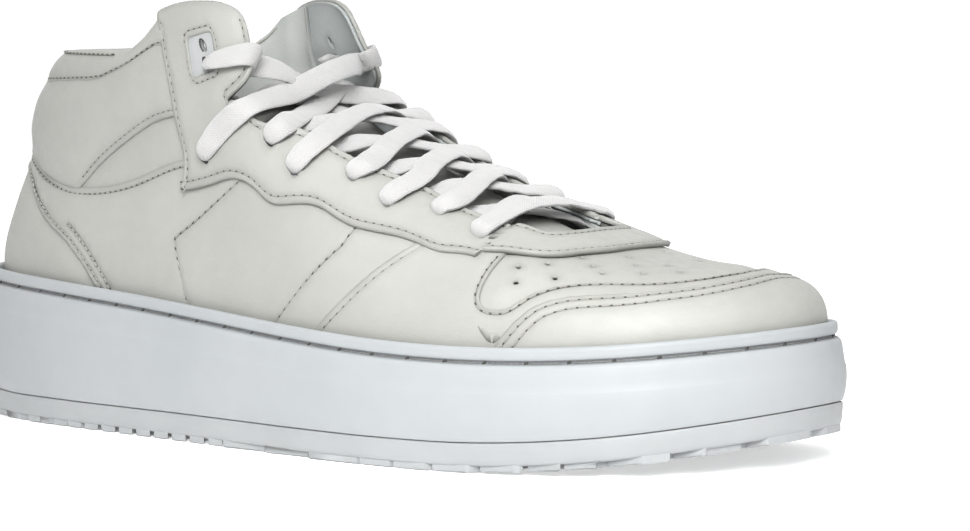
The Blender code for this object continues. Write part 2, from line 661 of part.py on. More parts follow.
# ---- tongue -----------------------------------------------------------------------------------------------------
def tongue_frame():
    """For each station the points across the tongue's upper face and its downward normal."""
    stations = np.array(TONGUE, float)
    slope = np.gradient(stations[:, 1], stations[:, 0])
    across = np.array([-1, -0.72, -0.4, 0, 0.4, 0.72, 1])
    faces = []
    for (x, z, half, drop), rise in zip(stations, slope):
        points = np.column_stack([np.full(7, x), SIDEWAYS(x) + half * across, z - drop * across**2])
        normal = np.column_stack([np.full(7, rise), -2 * drop / half * across, np.full(7, -1.0)])
        faces.append((points, normal / np.linalg.norm(normal, axis=1)[:, None]))
    return faces


def make_tongue():
    layers = {"tongue_face": (0, 1.4, LEATHER), "tongue_foam": (2.1, 5.6, FOAM), "tongue_lining": (6.3, 7.3, LINING)}
    for name, (top, bottom, look) in layers.items():
        loops = []
        for i, (points, normal) in enumerate(tongue_frame()):
            thin = min(1.0, 0.7 + 0.1 * i)
            upper_face, lower_face = points + normal * top * thin, points + normal * bottom * thin
            loops.append(list(upper_face) + list(lower_face[::-1]))
        solid(name, loops, look, origin=TONGUE_HINGE)


def main():
    for thing in list(bpy.data.objects):
        bpy.data.objects.remove(thing)
    make_sole()
    make_quarters()
    make_toe()
    make_heel()
    make_collar()
    make_eyestay()
    make_patches()
    punch_eyelets()
    make_lace()
    make_tongue()


main()
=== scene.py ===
"""Looks of the court shoe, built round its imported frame.

Lengths are millimetres until a mesh is made, and the axes are those of the frame: +X to the toe, +Y to the
inner (medial) side, +Z up.  Every piece of the upper lies on one surface, upper(a, t, out):
  a    runs round the shoe: -1 at the toe, by the outer (lateral) side to 0 at the heel, and by the medial
       side to 1
  t    runs up the wall, 0 just inside the lip of the sole and 1 at the crest; below 0 it drops 1 mm per 0.01
  out  is the distance outside the surface, negative inside
"""

import bmesh
import bpy
import numpy as np
from mathutils import Matrix, Vector
from mathutils.geometry import delaunay_2d_cdt


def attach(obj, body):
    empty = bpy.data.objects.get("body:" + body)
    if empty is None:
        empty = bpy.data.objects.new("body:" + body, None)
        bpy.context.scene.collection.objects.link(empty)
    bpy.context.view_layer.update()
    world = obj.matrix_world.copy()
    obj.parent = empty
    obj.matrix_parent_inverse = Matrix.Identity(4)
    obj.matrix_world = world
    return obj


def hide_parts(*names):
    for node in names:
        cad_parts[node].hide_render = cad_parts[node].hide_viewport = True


MM = 0.001
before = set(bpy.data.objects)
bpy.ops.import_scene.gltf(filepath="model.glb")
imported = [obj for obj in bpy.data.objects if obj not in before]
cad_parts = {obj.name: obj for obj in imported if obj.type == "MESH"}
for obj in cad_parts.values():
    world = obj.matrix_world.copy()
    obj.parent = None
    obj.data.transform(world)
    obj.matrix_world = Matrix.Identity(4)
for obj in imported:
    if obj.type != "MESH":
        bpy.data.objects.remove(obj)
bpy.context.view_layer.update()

# ---- the surface that the frame's pieces lie on ------------------------------------------------------------
LATERAL_OUTLINE = [(-151, -0.5), (-143, -26.5), (-120, -38), (-85, -44), (-45, -48.5), (-5, -54),
                   (35, -58.5), (65, -57.5), (92, -52), (115, -43), (134, -28.5), (147, -9)]
MEDIAL_OUTLINE = [(151, 10), (147, 28), (134, 43), (114, 52), (88, 55.5), (55, 54), (15, 49),
                  (-30, 44), (-75, 42), (-115, 39), (-141, 26.5)]
UPPER_INSET = 6.5
HEEL_CENTRE, TOE_CENTRE = -98, 108
FLAT_HEEL, FLAT_BALL = -115, 60
TOE_SPRING, HEEL_BEVEL = 9.0, 3.0
LIP_HEIGHT = [(-150, 48.0), (-60, 43), (60, 35.5), (100, 36.0), (152, 40.5)]
CREST_HEIGHT = [(-150, 215), (-90, 210), (-60, 196), (-45, 178), (-32, 156), (-20, 133), (-10, 115),
                (0, 102), (12, 92.5), (25, 84.5), (40, 77.5), (60, 70.4), (80, 62.9), (95, 58.1), (110, 55.6),
                (130, 54.4), (150, 51.5)]
CREST_SIDEWAYS = [(-150, 0), (-40, 0), (20, 0), (60, 1.5), (110, 5), (150, 8)]
FULLNESS = [(-150, 3.4), (-50, 3.4), (0, 3.0), (60, 2.7), (110, 3.6), (150, 2.5)]
ANKLE_WAIST = [(40, 1.0), (60, 0.985), (75, 0.945), (90, 0.915), (105, 0.905), (120, 0.915), (140, 0.93)]
HEEL_LEAN = [(38, 0), (50, 0.5), (65, 3.2), (80, 8.4), (95, 11.2), (105, 14.2), (112, 19.5), (120, 27.5),
             (130, 37)]
BASE_BELOW_LIP = 4          # where t is 0
MEDIAL_FLAP_PULL = 5.0          # how far the lace draws the medial ankle flap inward

EYELETS = [(-34.3, 85.2), (-11, 90.3), (-0.7, 81.5), (16, 79.6), (30, 72.2), (45, 69.5), (61.5, 63.5)]
PATCH_EYELETS = [(-38.4, 118.2), (-36.6, 112.8)]
COLLAR_SEAM = [(-145, 87), (-132, 82.7), (-120, 78.4), (-105, 75.1), (-96, 74.4), (-82, 75.1), (-64, 78.7),
               (-46, 84)]
BINDING_SEAM = [(-145, 106), (-122, 107), (-101, 107.5), (-91, 108.2), (-73, 113.3), (-58, 118.5)]
COLLAR_TOP = [(-145, 117.5), (-80, 117.3), (-75, 117.9), (-70, 119.9), (-66, 121.7), (-62.5, 124),
              (-58.5, 126.8), (-50, 129)]
HEEL_SEAM = [(-145, 84), (-133, 76), (-124, 70.9), (-111, 63.5), (-102, 59.2), (-94, 54.8), (-84, 46)]


def spline(points):
    """Natural cubic spline y(x) through the points."""
    x, y = np.array(points, float).T
    gap = np.diff(x)
    size = len(x)
    rows, right = np.eye(size), np.zeros(size)
    for i in range(1, size - 1):
        rows[i, i - 1:i + 2] = gap[i - 1], 2 * (gap[i - 1] + gap[i]), gap[i]
        right[i] = 6 * ((y[i + 1] - y[i]) / gap[i] - (y[i] - y[i - 1]) / gap[i - 1])
    bend = np.linalg.solve(rows, right)

    def value(at):
        i = np.clip(np.searchsorted(x, at) - 1, 0, size - 2)
        h = x[i + 1] - x[i]
        p, q = (x[i + 1] - at) / h, (at - x[i]) / h
        return p * y[i] + q * y[i + 1] + ((p**3 - p) * bend[i] + (q**3 - q) * bend[i + 1]) * h * h / 6

    return value


def steps(points):
    """Straight lines y(x) between the points."""
    x, y = np.array(points, float).T
    return lambda at: np.interp(at, x, y)


def smoothstep(x, low, high):
    """0 below low, 1 above high, and a soft rise between them."""
    u = np.clip((x - low) / (high - low), 0, 1)
    return u * u * (3 - 2 * u)


def lengths_along(points):
    """Length of a line up to each of its points."""
    return np.concatenate([[0], np.cumsum(np.linalg.norm(np.diff(points, axis=0), axis=1))])


def closed_curve(points, count=720):
    """Smooth closed line through the points."""
    p = np.array(points, float)
    run = np.vstack([p[-3:], p, p[:4]])
    along = np.concatenate([[0], np.cumsum(np.linalg.norm(np.diff(run, axis=0), axis=1) ** 0.5)])
    at = np.linspace(along[3], along[3 + len(p)], count, endpoint=False)
    return np.column_stack([spline(np.column_stack([along, run[:, k]]))(at) for k in (0, 1)])


SIDE_COUNT = 361          # stations of the outline on each side of the sole


def by_arc(points, normals, count=SIDE_COUNT):
    """Points and normals spaced evenly along their line."""
    along = lengths_along(points)
    at = np.linspace(0, along[-1], count)
    return np.column_stack([np.interp(at, along, column) for column in np.hstack([points, normals]).T])


def sole_outline():
    """Rows of a, x, y and the outward normal along the widest line of the sole."""
    curve = closed_curve(LATERAL_OUTLINE + MEDIAL_OUTLINE)
    along = np.roll(curve, -1, 0) - np.roll(curve, 1, 0)
    normal = np.column_stack([along[:, 1], -along[:, 0]]) / np.linalg.norm(along, axis=1)[:, None]
    normal *= np.sign((normal * curve).sum(1).mean())
    heel = int(np.argmin(curve[:, 0]))
    curve, normal = np.roll(curve, -heel, 0), np.roll(normal, -heel, 0)
    toe = int(np.argmax(curve[:, 0]))
    lateral = by_arc(curve[:toe + 1], normal[:toe + 1])
    medial = by_arc(np.vstack([curve[toe:], curve[:1]])[::-1], np.vstack([normal[toe:], normal[:1]])[::-1])
    rows = np.vstack([lateral[::-1], medial[1:]])
    return np.column_stack([np.linspace(-1, 1, len(rows)), rows])


OUTLINE = sole_outline()
LIP, CREST, SIDEWAYS = spline(LIP_HEIGHT), spline(CREST_HEIGHT), spline(CREST_SIDEWAYS)
FULL, WAIST, LEAN = spline(FULLNESS), spline(ANKLE_WAIST), spline(HEEL_LEAN)


def wrapped(a):
    """a brought back between -1 and 1."""
    return (np.asarray(a, float) + 1) % 2 - 1


def outline(a, inset):
    """Point (x, y) this far inside the widest line of the sole."""
    a = wrapped(a)
    x, y, nx, ny = (np.interp(a, OUTLINE[:, 0], OUTLINE[:, k]) for k in (1, 2, 3, 4))
    size = np.hypot(nx, ny)
    return np.stack([x - inset * nx / size, y - inset * ny / size], -1)


def feather_table(side):
    """Feather line's x against a, on one side."""
    row = OUTLINE[:SIDE_COUNT] if side < 0 else OUTLINE[SIDE_COUNT - 1:]
    feather = outline(row[:, 0], UPPER_INSET)[:, 0]
    feather[[0, -1]] = outline(row[[0, -1], 0] * 0.999999, UPPER_INSET)[:, 0]
    order = np.argsort(feather)
    return feather[order], row[order, 0]


FEATHER = {-1: feather_table(-1), 1: feather_table(1)}


def a_at(x, side):
    """Where the feather line has this x, on side -1 (lateral) or 1 (medial)."""
    return np.where(np.asarray(side) < 0, np.interp(x, *FEATHER[-1]), np.interp(x, *FEATHER[1]))


def spine(x):
    """Where the wall's columns lean to: x, held softly between the centres of the heel and the toe."""
    soft = 9
    x = TOE_CENTRE - soft * np.log1p(np.exp((TOE_CENTRE - x) / soft))
    return HEEL_CENTRE + soft * np.log1p(np.exp((x - HEEL_CENTRE) / soft))


def wall_base(a):
    """Height of t = 0."""
    return LIP(outline(a, UPPER_INSET)[..., 0]) - BASE_BELOW_LIP


def skin(a, t):
    """Point of the upper's surface, before the lace pulls on it."""
    foot = outline(a, UPPER_INSET)
    x = spine(foot[..., 0])
    centre = np.stack([x, SIDEWAYS(x)], -1)
    rise = np.sin(np.pi / 2 * np.clip(t, 0, 1))
    base = wall_base(a)
    z = base + (CREST(x) - base) * rise + 100 * np.minimum(t, 0)
    reach = np.sqrt(np.maximum(1 - rise ** FULL(x), 0))
    reach = reach * (1 + (WAIST(np.maximum(z, 40)) - 1) * (1 - smoothstep(x, -45, 25)))
    point = centre + (foot - centre) * reach[..., None]
    lean = LEAN(np.clip(z, 38, 140)) * smoothstep(-point[..., 0], 50, 135)
    return np.stack([point[..., 0] + lean, point[..., 1], z], -1)


def normal_at(a, t):
    """Outward direction of the upper's surface."""
    small = 1e-4
    near = np.clip(t, -1, 0.995)
    across = skin(a + small, near) - skin(a - small, near)
    up = skin(a, near + small) - skin(a, near - small)
    normal = np.cross(up, across)
    x = spine(outline(a, UPPER_INSET)[..., 0])
    crest = np.stack([-(CREST(x + 0.5) - CREST(x - 0.5)), np.zeros_like(x), np.ones_like(x)], -1)
    normal = np.where((t > 0.999)[..., None], crest, normal)
    return normal / np.linalg.norm(normal, axis=-1)[..., None]


def upper(a, t, out=0.0):
    """Point this far outside the upper's surface, with the medial ankle flap pulled in by its lace."""
    a, t = np.broadcast_arrays(np.asarray(a, float), np.asarray(t, float))
    point = skin(a, t) + normal_at(a, t) * np.asarray(out, float)[..., None]
    pull = smoothstep(point[..., 2], 101, 118) * smoothstep(point[..., 0], -66, -40) * (wrapped(a) > 0)
    return point - MEDIAL_FLAP_PULL * pull[..., None] * np.array([0.0, 1, 0])


def level(a, z):
    """t of this height on the wall."""
    base = wall_base(a)
    share = (z - base) / (CREST(spine(outline(a, UPPER_INSET)[..., 0])) - base)
    return np.where(z < base, (z - base) / 100, np.arcsin(np.clip(share, 0, 1)) * 2 / np.pi)


# Girth g: millimetres up the wall from t = 0, tabled so that flat drawings can be laid on the surface.
A_TABLE = np.linspace(-1, 1, 721)
T_TABLE = np.linspace(-0.2, 1, 241)
G_STEP, G_LOW, G_HIGH = 0.5, -20.0, 190.0


def girth_tables():
    """Girth at every (a, t) of the tables, and t at every (a, g)."""
    points = skin(A_TABLE[:, None], T_TABLE[None, :])
    run = np.cumsum(np.linalg.norm(np.diff(points, axis=1), axis=2), axis=1)
    girth = np.hstack([np.zeros((len(A_TABLE), 1)), run])
    girth -= np.array([np.interp(0, T_TABLE, row) for row in girth])[:, None]
    values = np.arange(G_LOW, G_HIGH, G_STEP)
    return girth, np.array([np.interp(values, row, T_TABLE) for row in girth])


GIRTH, T_OF_GIRTH = girth_tables()


def lookup(table, a, column):
    """Bilinear read of a table whose rows are A_TABLE."""
    row = np.clip((wrapped(a) + 1) / 2 * (len(A_TABLE) - 1), 0, len(A_TABLE) - 1.001)
    column = np.clip(column, 0, table.shape[1] - 1.001)
    i, j = row.astype(int), column.astype(int)
    u, v = row - i, column - j
    return ((1 - u) * ((1 - v) * table[i, j] + v * table[i, j + 1])
            + u * ((1 - v) * table[i + 1, j] + v * table[i + 1, j + 1]))


def t_of(a, g):
    """t at this girth."""
    return lookup(T_OF_GIRTH, a, (np.asarray(g, float) - G_LOW) / G_STEP)


def g_of(a, t):
    """Girth at this t."""
    return lookup(GIRTH, a, (np.asarray(t, float) + 0.2) / 1.2 * (len(T_TABLE) - 1))


SIDE_LENGTH = 0.5 * lengths_along(outline(np.linspace(-0.99999, 0.99999, 1441), UPPER_INSET))[-1]


# ---- flat drawings: each chart turns a drawing's points into (a, t) ----------------------------------------
def wall_chart(uv):
    """u is the length round the feather line from the heel, lateral negative; v is the girth."""
    a = uv[:, 0] / SIDE_LENGTH
    return a, t_of(a, uv[:, 1])


THROAT_FOOT = 66          # x where the throat drawing stops following the crest


def throat_reference(x):
    """Girth that the throat drawing is measured from: the crest in front, and a slanting line behind."""
    front = np.maximum(x, THROAT_FOOT)
    a = a_at(front, -1)
    whole = 0.5 * (g_of(a, np.ones_like(a)) + g_of(a_at(front, 1), np.ones_like(a)))
    return whole + 0.85 * np.maximum(THROAT_FOOT - x, 0)


def throat_chart(uv):
    """u is the feather line's x; v is the girth down from the reference, lateral negative."""
    x, v = uv.T
    side = np.where(v < 0, -1, 1)
    a = a_at(x, side)
    whole = g_of(a, np.ones_like(a))
    reference = np.where(x > THROAT_FOOT, whole, throat_reference(x))
    return a, t_of(a, np.minimum(reference - np.abs(v), whole))


def throat_point(x, z, side):
    """Point of the throat drawing at this x and height."""
    a = a_at(x, side)
    reference = g_of(a, 1.0) if x > THROAT_FOOT else throat_reference(np.array(float(x)))
    return np.array([x, side * (reference - g_of(a, level(a, z)))])


def plan_chart(uv):
    """Plan view, for the front of the shoe: finds the column of the wall that passes through each point."""
    lateral = uv[:, 1] < SIDEWAYS(np.clip(uv[:, 0], -150, 150))
    low, high = np.where(lateral, -1.0, 0.0), np.where(lateral, 0.0, 1.0)
    for _ in range(36):
        a = 0.5 * (low + high)
        foot = outline(np.clip(a, -0.999999, 0.999999), UPPER_INSET)
        x = spine(foot[:, 0])
        centre = np.column_stack([x, SIDEWAYS(x)])
        ray, want = foot - centre, uv - centre
        cross = ray[:, 0] * want[:, 1] - ray[:, 1] * want[:, 0]
        ahead = np.where(lateral, cross > 0, cross < 0)
        low, high = np.where(ahead == lateral, low, a), np.where(ahead == lateral, a, high)
    reach = np.clip(np.linalg.norm(want, axis=1) / np.linalg.norm(ray, axis=1), 0, 1)
    rise = (1 - reach**2) ** (1 / FULL(x))
    return a, np.arcsin(np.clip(rise, 0, 1)) * 2 / np.pi


def plan_point(x, t, side):
    """Plan position of the wall's point at this feather x and t."""
    return upper(a_at(x, side), t)[:2]


# ---- meshes ------------------------------------------------------------------------------------------------
def make_mesh(name, points, faces, body="shoe", angle=None, fields=None):
    """Smooth-shaded object from points in mm, with float fields stored on its points."""
    mesh = bpy.data.meshes.new(name)
    mesh.from_pydata((np.asarray(points, float) * MM).tolist(), [], [list(map(int, f)) for f in faces])
    for field, values in (fields or {}).items():
        mesh.attributes.new(field, "FLOAT", "POINT").data.foreach_set("value", np.asarray(values, np.float32))
    mesh.update()
    mesh.shade_smooth()
    if angle:
        mesh.set_sharp_from_angle(angle=angle)
    made = bpy.data.objects.new(name, mesh)
    bpy.context.scene.collection.objects.link(made)
    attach(made, body)
    return made


def even(points, step, closed=False):
    """The same line with points this far apart."""
    points = np.asarray(points, float)
    if closed:
        points = np.vstack([points, points[:1]])
    along = lengths_along(points)
    count = max(2, int(round(along[-1] / step)) + 1)
    at = np.linspace(0, along[-1], count)
    made = np.column_stack([np.interp(at, along, points[:, k]) for k in range(points.shape[1])])
    return made[:-1] if closed else made


def curved(points, step, closed=False, power=0.5):
    """Smooth line through the points."""
    points = np.asarray(points, float)
    run = np.vstack([points[-3:], points, points[:4]]) if closed else points
    along = np.concatenate([[0], np.cumsum(np.linalg.norm(np.diff(run, axis=0), axis=1) ** power)])
    ends = (along[3], along[3 + len(points)]) if closed else (0, along[-1])
    at = np.linspace(*ends, 24 * len(points), endpoint=not closed)
    fine = np.column_stack([spline(np.column_stack([along, run[:, k]]))(at) for k in range(run.shape[1])])
    return even(fine, step, closed)


def distance(points, line, block=4000):
    """Distance from each point to the nearest point of a line."""
    nearest = []
    for i in range(0, len(points), block):
        gap = points[i:i + block, None, :] - line[None, :, :]
        nearest.append(np.sqrt((gap**2).sum(2).min(1)))
    return np.concatenate(nearest)


def inside(points, loop):
    """Which points lie in the closed loop."""
    x, y = points.T
    found = np.zeros(len(points), bool)
    for (x0, y0), (x1, y1) in zip(loop, np.roll(loop, -1, 0)):
        if y0 != y1:
            found ^= ((y0 > y) != (y1 > y)) & (x < (x1 - x0) * (y - y0) / (y1 - y0) + x0)
    return found


def shifted(line, by, closed=False):
    """Flat line moved sideways by a distance, to the left of its direction."""
    if closed:
        along = np.roll(line, -1, 0) - np.roll(line, 1, 0)
    else:
        along = np.gradient(line, axis=0)
    size = np.linalg.norm(along, axis=1)[:, None]
    return line + by * np.column_stack([-along[:, 1], along[:, 0]]) / np.maximum(size, 1e-9)


def area_of(loop):
    """Area of a flat loop, positive where it runs anticlockwise."""
    x, y = loop.T
    return 0.5 * float((x * np.roll(y, -1) - y * np.roll(x, -1)).sum())


def lump(points, size, seed):
    """Slow random swell between -1 and 1, from a few fixed waves."""
    wave = np.random.default_rng(seed)
    total = np.zeros(len(points))
    for _ in range(9):
        direction = wave.normal(size=3)
        direction /= np.linalg.norm(direction)
        length = size * wave.uniform(0.6, 1.5)
        total += np.sin(points @ direction * 2 * np.pi / length + wave.uniform(0, 6.3))
    return total / 4.5


class Drawing:
    """A flat piece: its outline and holes in a chart, and the lines that are sewn or creased into it."""

    def __init__(self, chart, loop, spacing=1.7, holes=()):
        self.chart, self.spacing = chart, spacing
        self.loop = loop if area_of(loop) > 0 else loop[::-1]
        self.holes = [h if area_of(h) > 0 else h[::-1] for h in holes]
        self.lines = []          # (points in the chart, depth, half width)

    def groove(self, line, depth, width):
        """Keeps a line that is pressed into the face."""
        self.lines.append((even(line, 0.5), depth, width))

    def points(self):
        """Points of the flat mesh, the outline and holes first."""
        border = np.vstack([self.loop] + self.holes)
        sets = []
        for line, _, width in self.lines:
            sets += [even(shifted(line, k * width), 0.8) for k in (0, -0.6, 0.6, -1.4, 1.4)]
        for loop in [self.loop] + [h[::-1] for h in self.holes]:
            sets += [shifted(loop, d, True) for d in (0.3, 0.75, 1.4)]
        low, high = self.loop.min(0), self.loop.max(0)
        step = self.spacing
        rows = []
        for i, y in enumerate(np.arange(low[1], high[1], step * 0.866)):
            x = np.arange(low[0] + (i % 2) * step / 2, high[0], step)
            rows.append(np.column_stack([x, np.full(len(x), y)]))
        sets.append(np.vstack(rows))
        kept, taken = [], set()
        cell = 0.33
        for order, points in enumerate(sets):
            points = points[inside(points, self.loop)]
            for hole in self.holes:
                points = points[~inside(points, hole)]
            if len(points) == 0:
                continue
            clear = 0.26 if order < len(sets) - 1 else 0.55 * step
            points = points[distance(points, border) > clear * 0.98]
            if order == len(sets) - 1 and kept:
                points = points[distance(points, np.array(kept)) > 0.5 * step]
            for p in points:
                key = (int(np.floor(p[0] / cell)), int(np.floor(p[1] / cell)))
                if key in taken:
                    continue
                taken.add(key)
                kept.append(p)
        return border, np.array(kept)

    def triangles(self):
        """Flat points, and the triangles between them."""
        border, free = self.points()
        edges, start = [], 0
        for loop in [self.loop] + self.holes:
            count = len(loop)
            edges += [(start + i, start + (i + 1) % count) for i in range(count)]
            start += count
        flat = [Vector(p) for p in np.vstack([border, free])]
        verts, _, faces, *_ = delaunay_2d_cdt(flat, edges, [], 1, 1e-5)
        verts = np.array([v[:] for v in verts])
        faces = np.array([f[:] for f in faces if len(f) == 3])
        middle = verts[faces].mean(1)
        keep = np.ones(len(faces), bool)
        for hole in self.holes:
            keep &= ~inside(middle, hole)
        faces = faces[keep]
        a, b, c = (verts[faces[:, k]] for k in range(3))
        turned = (b[:, 0] - a[:, 0]) * (c[:, 1] - a[:, 1]) - (b[:, 1] - a[:, 1]) * (c[:, 0] - a[:, 0]) < 0
        faces[turned] = faces[turned][:, ::-1]
        return verts, faces

    def place(self, uv, out):
        """Points of the drawing laid on the upper, this far out."""
        a, t = self.chart(np.asarray(uv, float))
        return upper(a, t, out)


def border_edges(faces):
    """Directed edges that belong to one triangle only."""
    edges = np.vstack([faces[:, [0, 1]], faces[:, [1, 2]], faces[:, [2, 0]]])
    known = {(int(i), int(j)) for i, j in edges}
    return [(i, j) for i, j in known if (j, i) not in known]


def closed_sheet(name, top, bottom, faces, fields):
    """Solid between two layers of the same triangles."""
    count = len(top)
    walls = [(j, i, i + count, j + count) for i, j in border_edges(faces)]
    every = [tuple(f) for f in faces] + [tuple(f[::-1] + count) for f in faces] + walls
    doubled = {k: np.concatenate([v, v]) for k, v in fields.items()}
    made = make_mesh(name, np.vstack([top, bottom]), every, fields=doubled)
    orient(made)
    return made


def leather_piece(name, drawing, top, bottom, edge=0.7, swell=None, lay=None, seed=0, rough=0.16):
    """Piece of leather cut to the drawing: rounded at its edges, drawn in along its seams and softly uneven.
    swell(points, distance from the edge) adds to its height; lay(flat points) moves both faces in or out."""
    uv, faces = drawing.triangles()
    base = drawing.place(uv, 0.5 * (top + bottom))
    rim = np.vstack([drawing.place(even(loop, 0.35, True), 0.5 * (top + bottom))
                     for loop in [drawing.loop] + drawing.holes])
    to_edge = distance(base, rim)
    rounding = edge * (1 - np.sqrt(1 - np.clip(1 - to_edge / edge, 0, 1) ** 2))
    # seam: mask of painted shade at the piece's edges and, below, along its grooves; the leather look darkens
    # by it
    seam = np.exp(-(to_edge / 1.4) ** 2)
    height = top - rounding + rough * lump(base, 26, seed) * smoothstep(to_edge, 0, 9)
    for line, depth, width in drawing.lines:
        gap = distance(base, drawing.place(line, 0.5 * (top + bottom)))
        height -= depth * np.exp(-(gap / width) ** 2)
        seam = np.maximum(seam, min(1.0, depth * 2) * np.exp(-(gap / (1.6 * width)) ** 2))
    if swell:
        height += swell(base, to_edge)
    low = np.full(len(uv), float(bottom))
    if lay:
        by = lay(uv)
        height, low = height + by, low + by
    height = np.maximum(height, low + 0.3)
    return closed_sheet(name, drawing.place(uv, height), drawing.place(uv, low), faces, {"seam": seam})


def orient(made):
    """Turns every face outward."""
    mesh = bmesh.new()
    mesh.from_mesh(made.data)
    bmesh.ops.recalc_face_normals(mesh, faces=mesh.faces)
    mesh.to_mesh(made.data)
    mesh.free()


# ---- stitches ----------------------------------------------------------------------------------------------
STITCHES = {}          # name of the thread group: lists of points and faces


def capsule(sides=6):
    """Unit stitch along x from -1 to 1, with half thickness 1 in y and z."""
    rings = [(-1.0, 0.0), (-0.93, 0.62), (-0.72, 1.0), (0.72, 1.0), (0.93, 0.62), (1.0, 0.0)]
    points, faces = [(-1.0, 0.0, 0.0)], []
    for x, r in rings[1:-1]:
        points += [(x, r * np.cos(g), r * np.sin(g)) for g in np.arange(sides) * 2 * np.pi / sides]
    points.append((1.0, 0.0, 0.0))
    last = len(points) - 1
    for j in range(sides):
        k = (j + 1) % sides
        faces.append((0, 1 + k, 1 + j))
        for ring in range(len(rings) - 3):
            s = 1 + ring * sides
            faces.append((s + j, s + k, s + sides + k, s + sides + j))
        faces.append((last, last - sides + j, last - sides + k))
    return np.array(points), faces


CAPSULE = capsule()


def beads(group, points, normals, at, length, thick, sink=0.0, slant=0.0):
    """Short lengths of thread, or dark beads of painted needle-hole shade, centred this far along a line in
    space.
    """
    along = lengths_along(points)
    centre = np.column_stack([np.interp(at, along, points[:, k]) for k in range(3)])
    tangent = np.column_stack([np.interp(at, along, np.gradient(points[:, k], along)) for k in range(3)])
    normal = np.column_stack([np.interp(at, along, normals[:, k]) for k in range(3)])
    tangent /= np.linalg.norm(tangent, axis=1)[:, None]
    side = np.cross(normal, tangent)
    side /= np.linalg.norm(side, axis=1)[:, None]
    tangent = tangent * np.cos(slant) + side * np.sin(slant)
    side = np.cross(normal, tangent)
    side /= np.linalg.norm(side, axis=1)[:, None]
    normal = np.cross(tangent, side)
    shape, faces = CAPSULE
    bow = 0.5 * thick * (1 - shape[:, 0] ** 2)
    vertices = (centre[:, None, :] - sink * normal[:, None, :]
                + 0.5 * length * shape[None, :, :1] * tangent[:, None, :]
                + thick * shape[None, :, 1:2] * side[:, None, :]
                + (thick * shape[None, :, 2:] + bow[None, :, None]) * normal[:, None, :])
    stored = STITCHES.setdefault(group, ([], []))
    first = sum(len(v) for v in stored[0])
    stored[0].append(vertices.reshape(-1, 3))
    for i in range(len(centre)):
        stored[1].extend([tuple(first + i * len(shape) + k for k in f) for f in faces])


def sew(group, points, normals, pitch=2.8, thick=0.26, hole=0.95, slant=0.0):
    """Row of lockstitches: pale thread, and a dark bead of painted shade for the needle hole between one
    stitch and the next.
    """
    run = lengths_along(points)[-1]
    count = int(round(run / pitch))
    if count < 1:
        return
    middles, gaps = (np.arange(count) + 0.5) * run / count, np.arange(count + 1) * run / count
    beads(group, points, normals, middles, pitch - 0.5 * hole, thick, 0.05, slant)
    # dark beads: painted shade of the needle holes
    beads("hole_shade", points, normals, gaps, hole, 0.27, 0.13, slant)


def sew_flat(group, drawing, line, out, depth=0.3, width=0.65, **how):
    """Row of stitches drawn into a piece whose face is this far out."""
    line = even(line, 0.6)
    drawing.groove(line, depth, width)
    a, t = drawing.chart(line)
    face = upper(a, t, (out(line) if callable(out) else out) - depth + 0.08)
    sew(group, face, normal_at(a, t), **how)


def thread_objects():
    """One object from each group of stitches."""
    for group, (vertices, faces) in STITCHES.items():
        made = make_mesh("stitches_" + group, np.vstack(vertices), faces)
        dress(made, {"sole": SOLE_THREAD, "hole_shade": HOLE_SHADE}.get(group, THREAD))


# ---- materials ---------------------------------------------------------------------------------------------
class Nodes:
    """Short way to build a material."""

    def __init__(self, name):
        self.material = bpy.data.materials.new(name)
        self.material.use_nodes = True
        self.tree = self.material.node_tree
        self.shader = self.tree.nodes["Principled BSDF"]
        self.place = self.add("ShaderNodeTexCoord").outputs["Object"]

    def add(self, kind, inputs=None, **settings):
        """New node with its settings and inputs."""
        node = self.tree.nodes.new(kind)
        for key, value in settings.items():
            setattr(node, key, value)
        for key, value in (inputs or {}).items():
            self.feed(node.inputs[key], value)
        return node

    def feed(self, socket, value):
        """Joins a node's output to the socket, or sets a constant on it."""
        if isinstance(value, bpy.types.NodeSocket):
            self.tree.links.new(value, socket)
        else:
            socket.default_value = value

    def set(self, **inputs):
        """Feeds the shader."""
        for key, value in inputs.items():
            self.feed(self.shader.inputs[key.replace("_", " ")], value)

    def noise(self, size, detail=3, rough=0.55, place=None):
        """Fractal noise from 0 to 1 with features about this many mm across."""
        node = self.add("ShaderNodeTexNoise", {"Vector": place or self.place, "Scale": 1000 / size,
                                               "Detail": detail, "Roughness": rough})
        return node.outputs["Fac"]

    def cells(self, size, feature="F1", place=None):
        """Distance from the middles of random cells about this many mm across."""
        node = self.add("ShaderNodeTexVoronoi", {"Vector": place or self.place, "Scale": 1000 / size},
                        feature=feature)
        return node.outputs["Distance"]

    def math(self, operation, a, b=0.0, c=0.0):
        """Result of a Math node."""
        return self.add("ShaderNodeMath", {0: a, 1: b, 2: c}, operation=operation).outputs[0]

    def span(self, value, low, high, to_low=0.0, to_high=1.0):
        """The value's run from low to high, stretched to run from to_low to to_high."""
        node = self.add("ShaderNodeMapRange", {"Value": value, "From Min": low, "From Max": high,
                                               "To Min": to_low, "To Max": to_high})
        return node.outputs[0]

    def field(self, name):
        """A float field of the mesh."""
        return self.add("ShaderNodeAttribute", attribute_name=name).outputs["Fac"]

    def blend(self, factor, a, b):
        """Colour between a and b."""
        node = self.add("ShaderNodeMix", data_type="RGBA")          # colours are its sockets 6, 7 and 2
        for socket, value in ((0, factor), (6, a), (7, b)):
            self.feed(node.inputs[socket], (*value, 1) if isinstance(value, tuple) else value)
        return node.outputs[2]

    def bump(self, height, depth, strength=1.0, under=None):
        """Relief this many mm deep."""
        node = self.add("ShaderNodeBump", {"Height": height, "Distance": depth * MM, "Strength": strength})
        if under:
            self.feed(node.inputs["Normal"], under)
        return node.outputs["Normal"]


def dress(made, material):
    """Gives a piece one material."""
    made.data.materials.clear()
    made.data.materials.append(material)


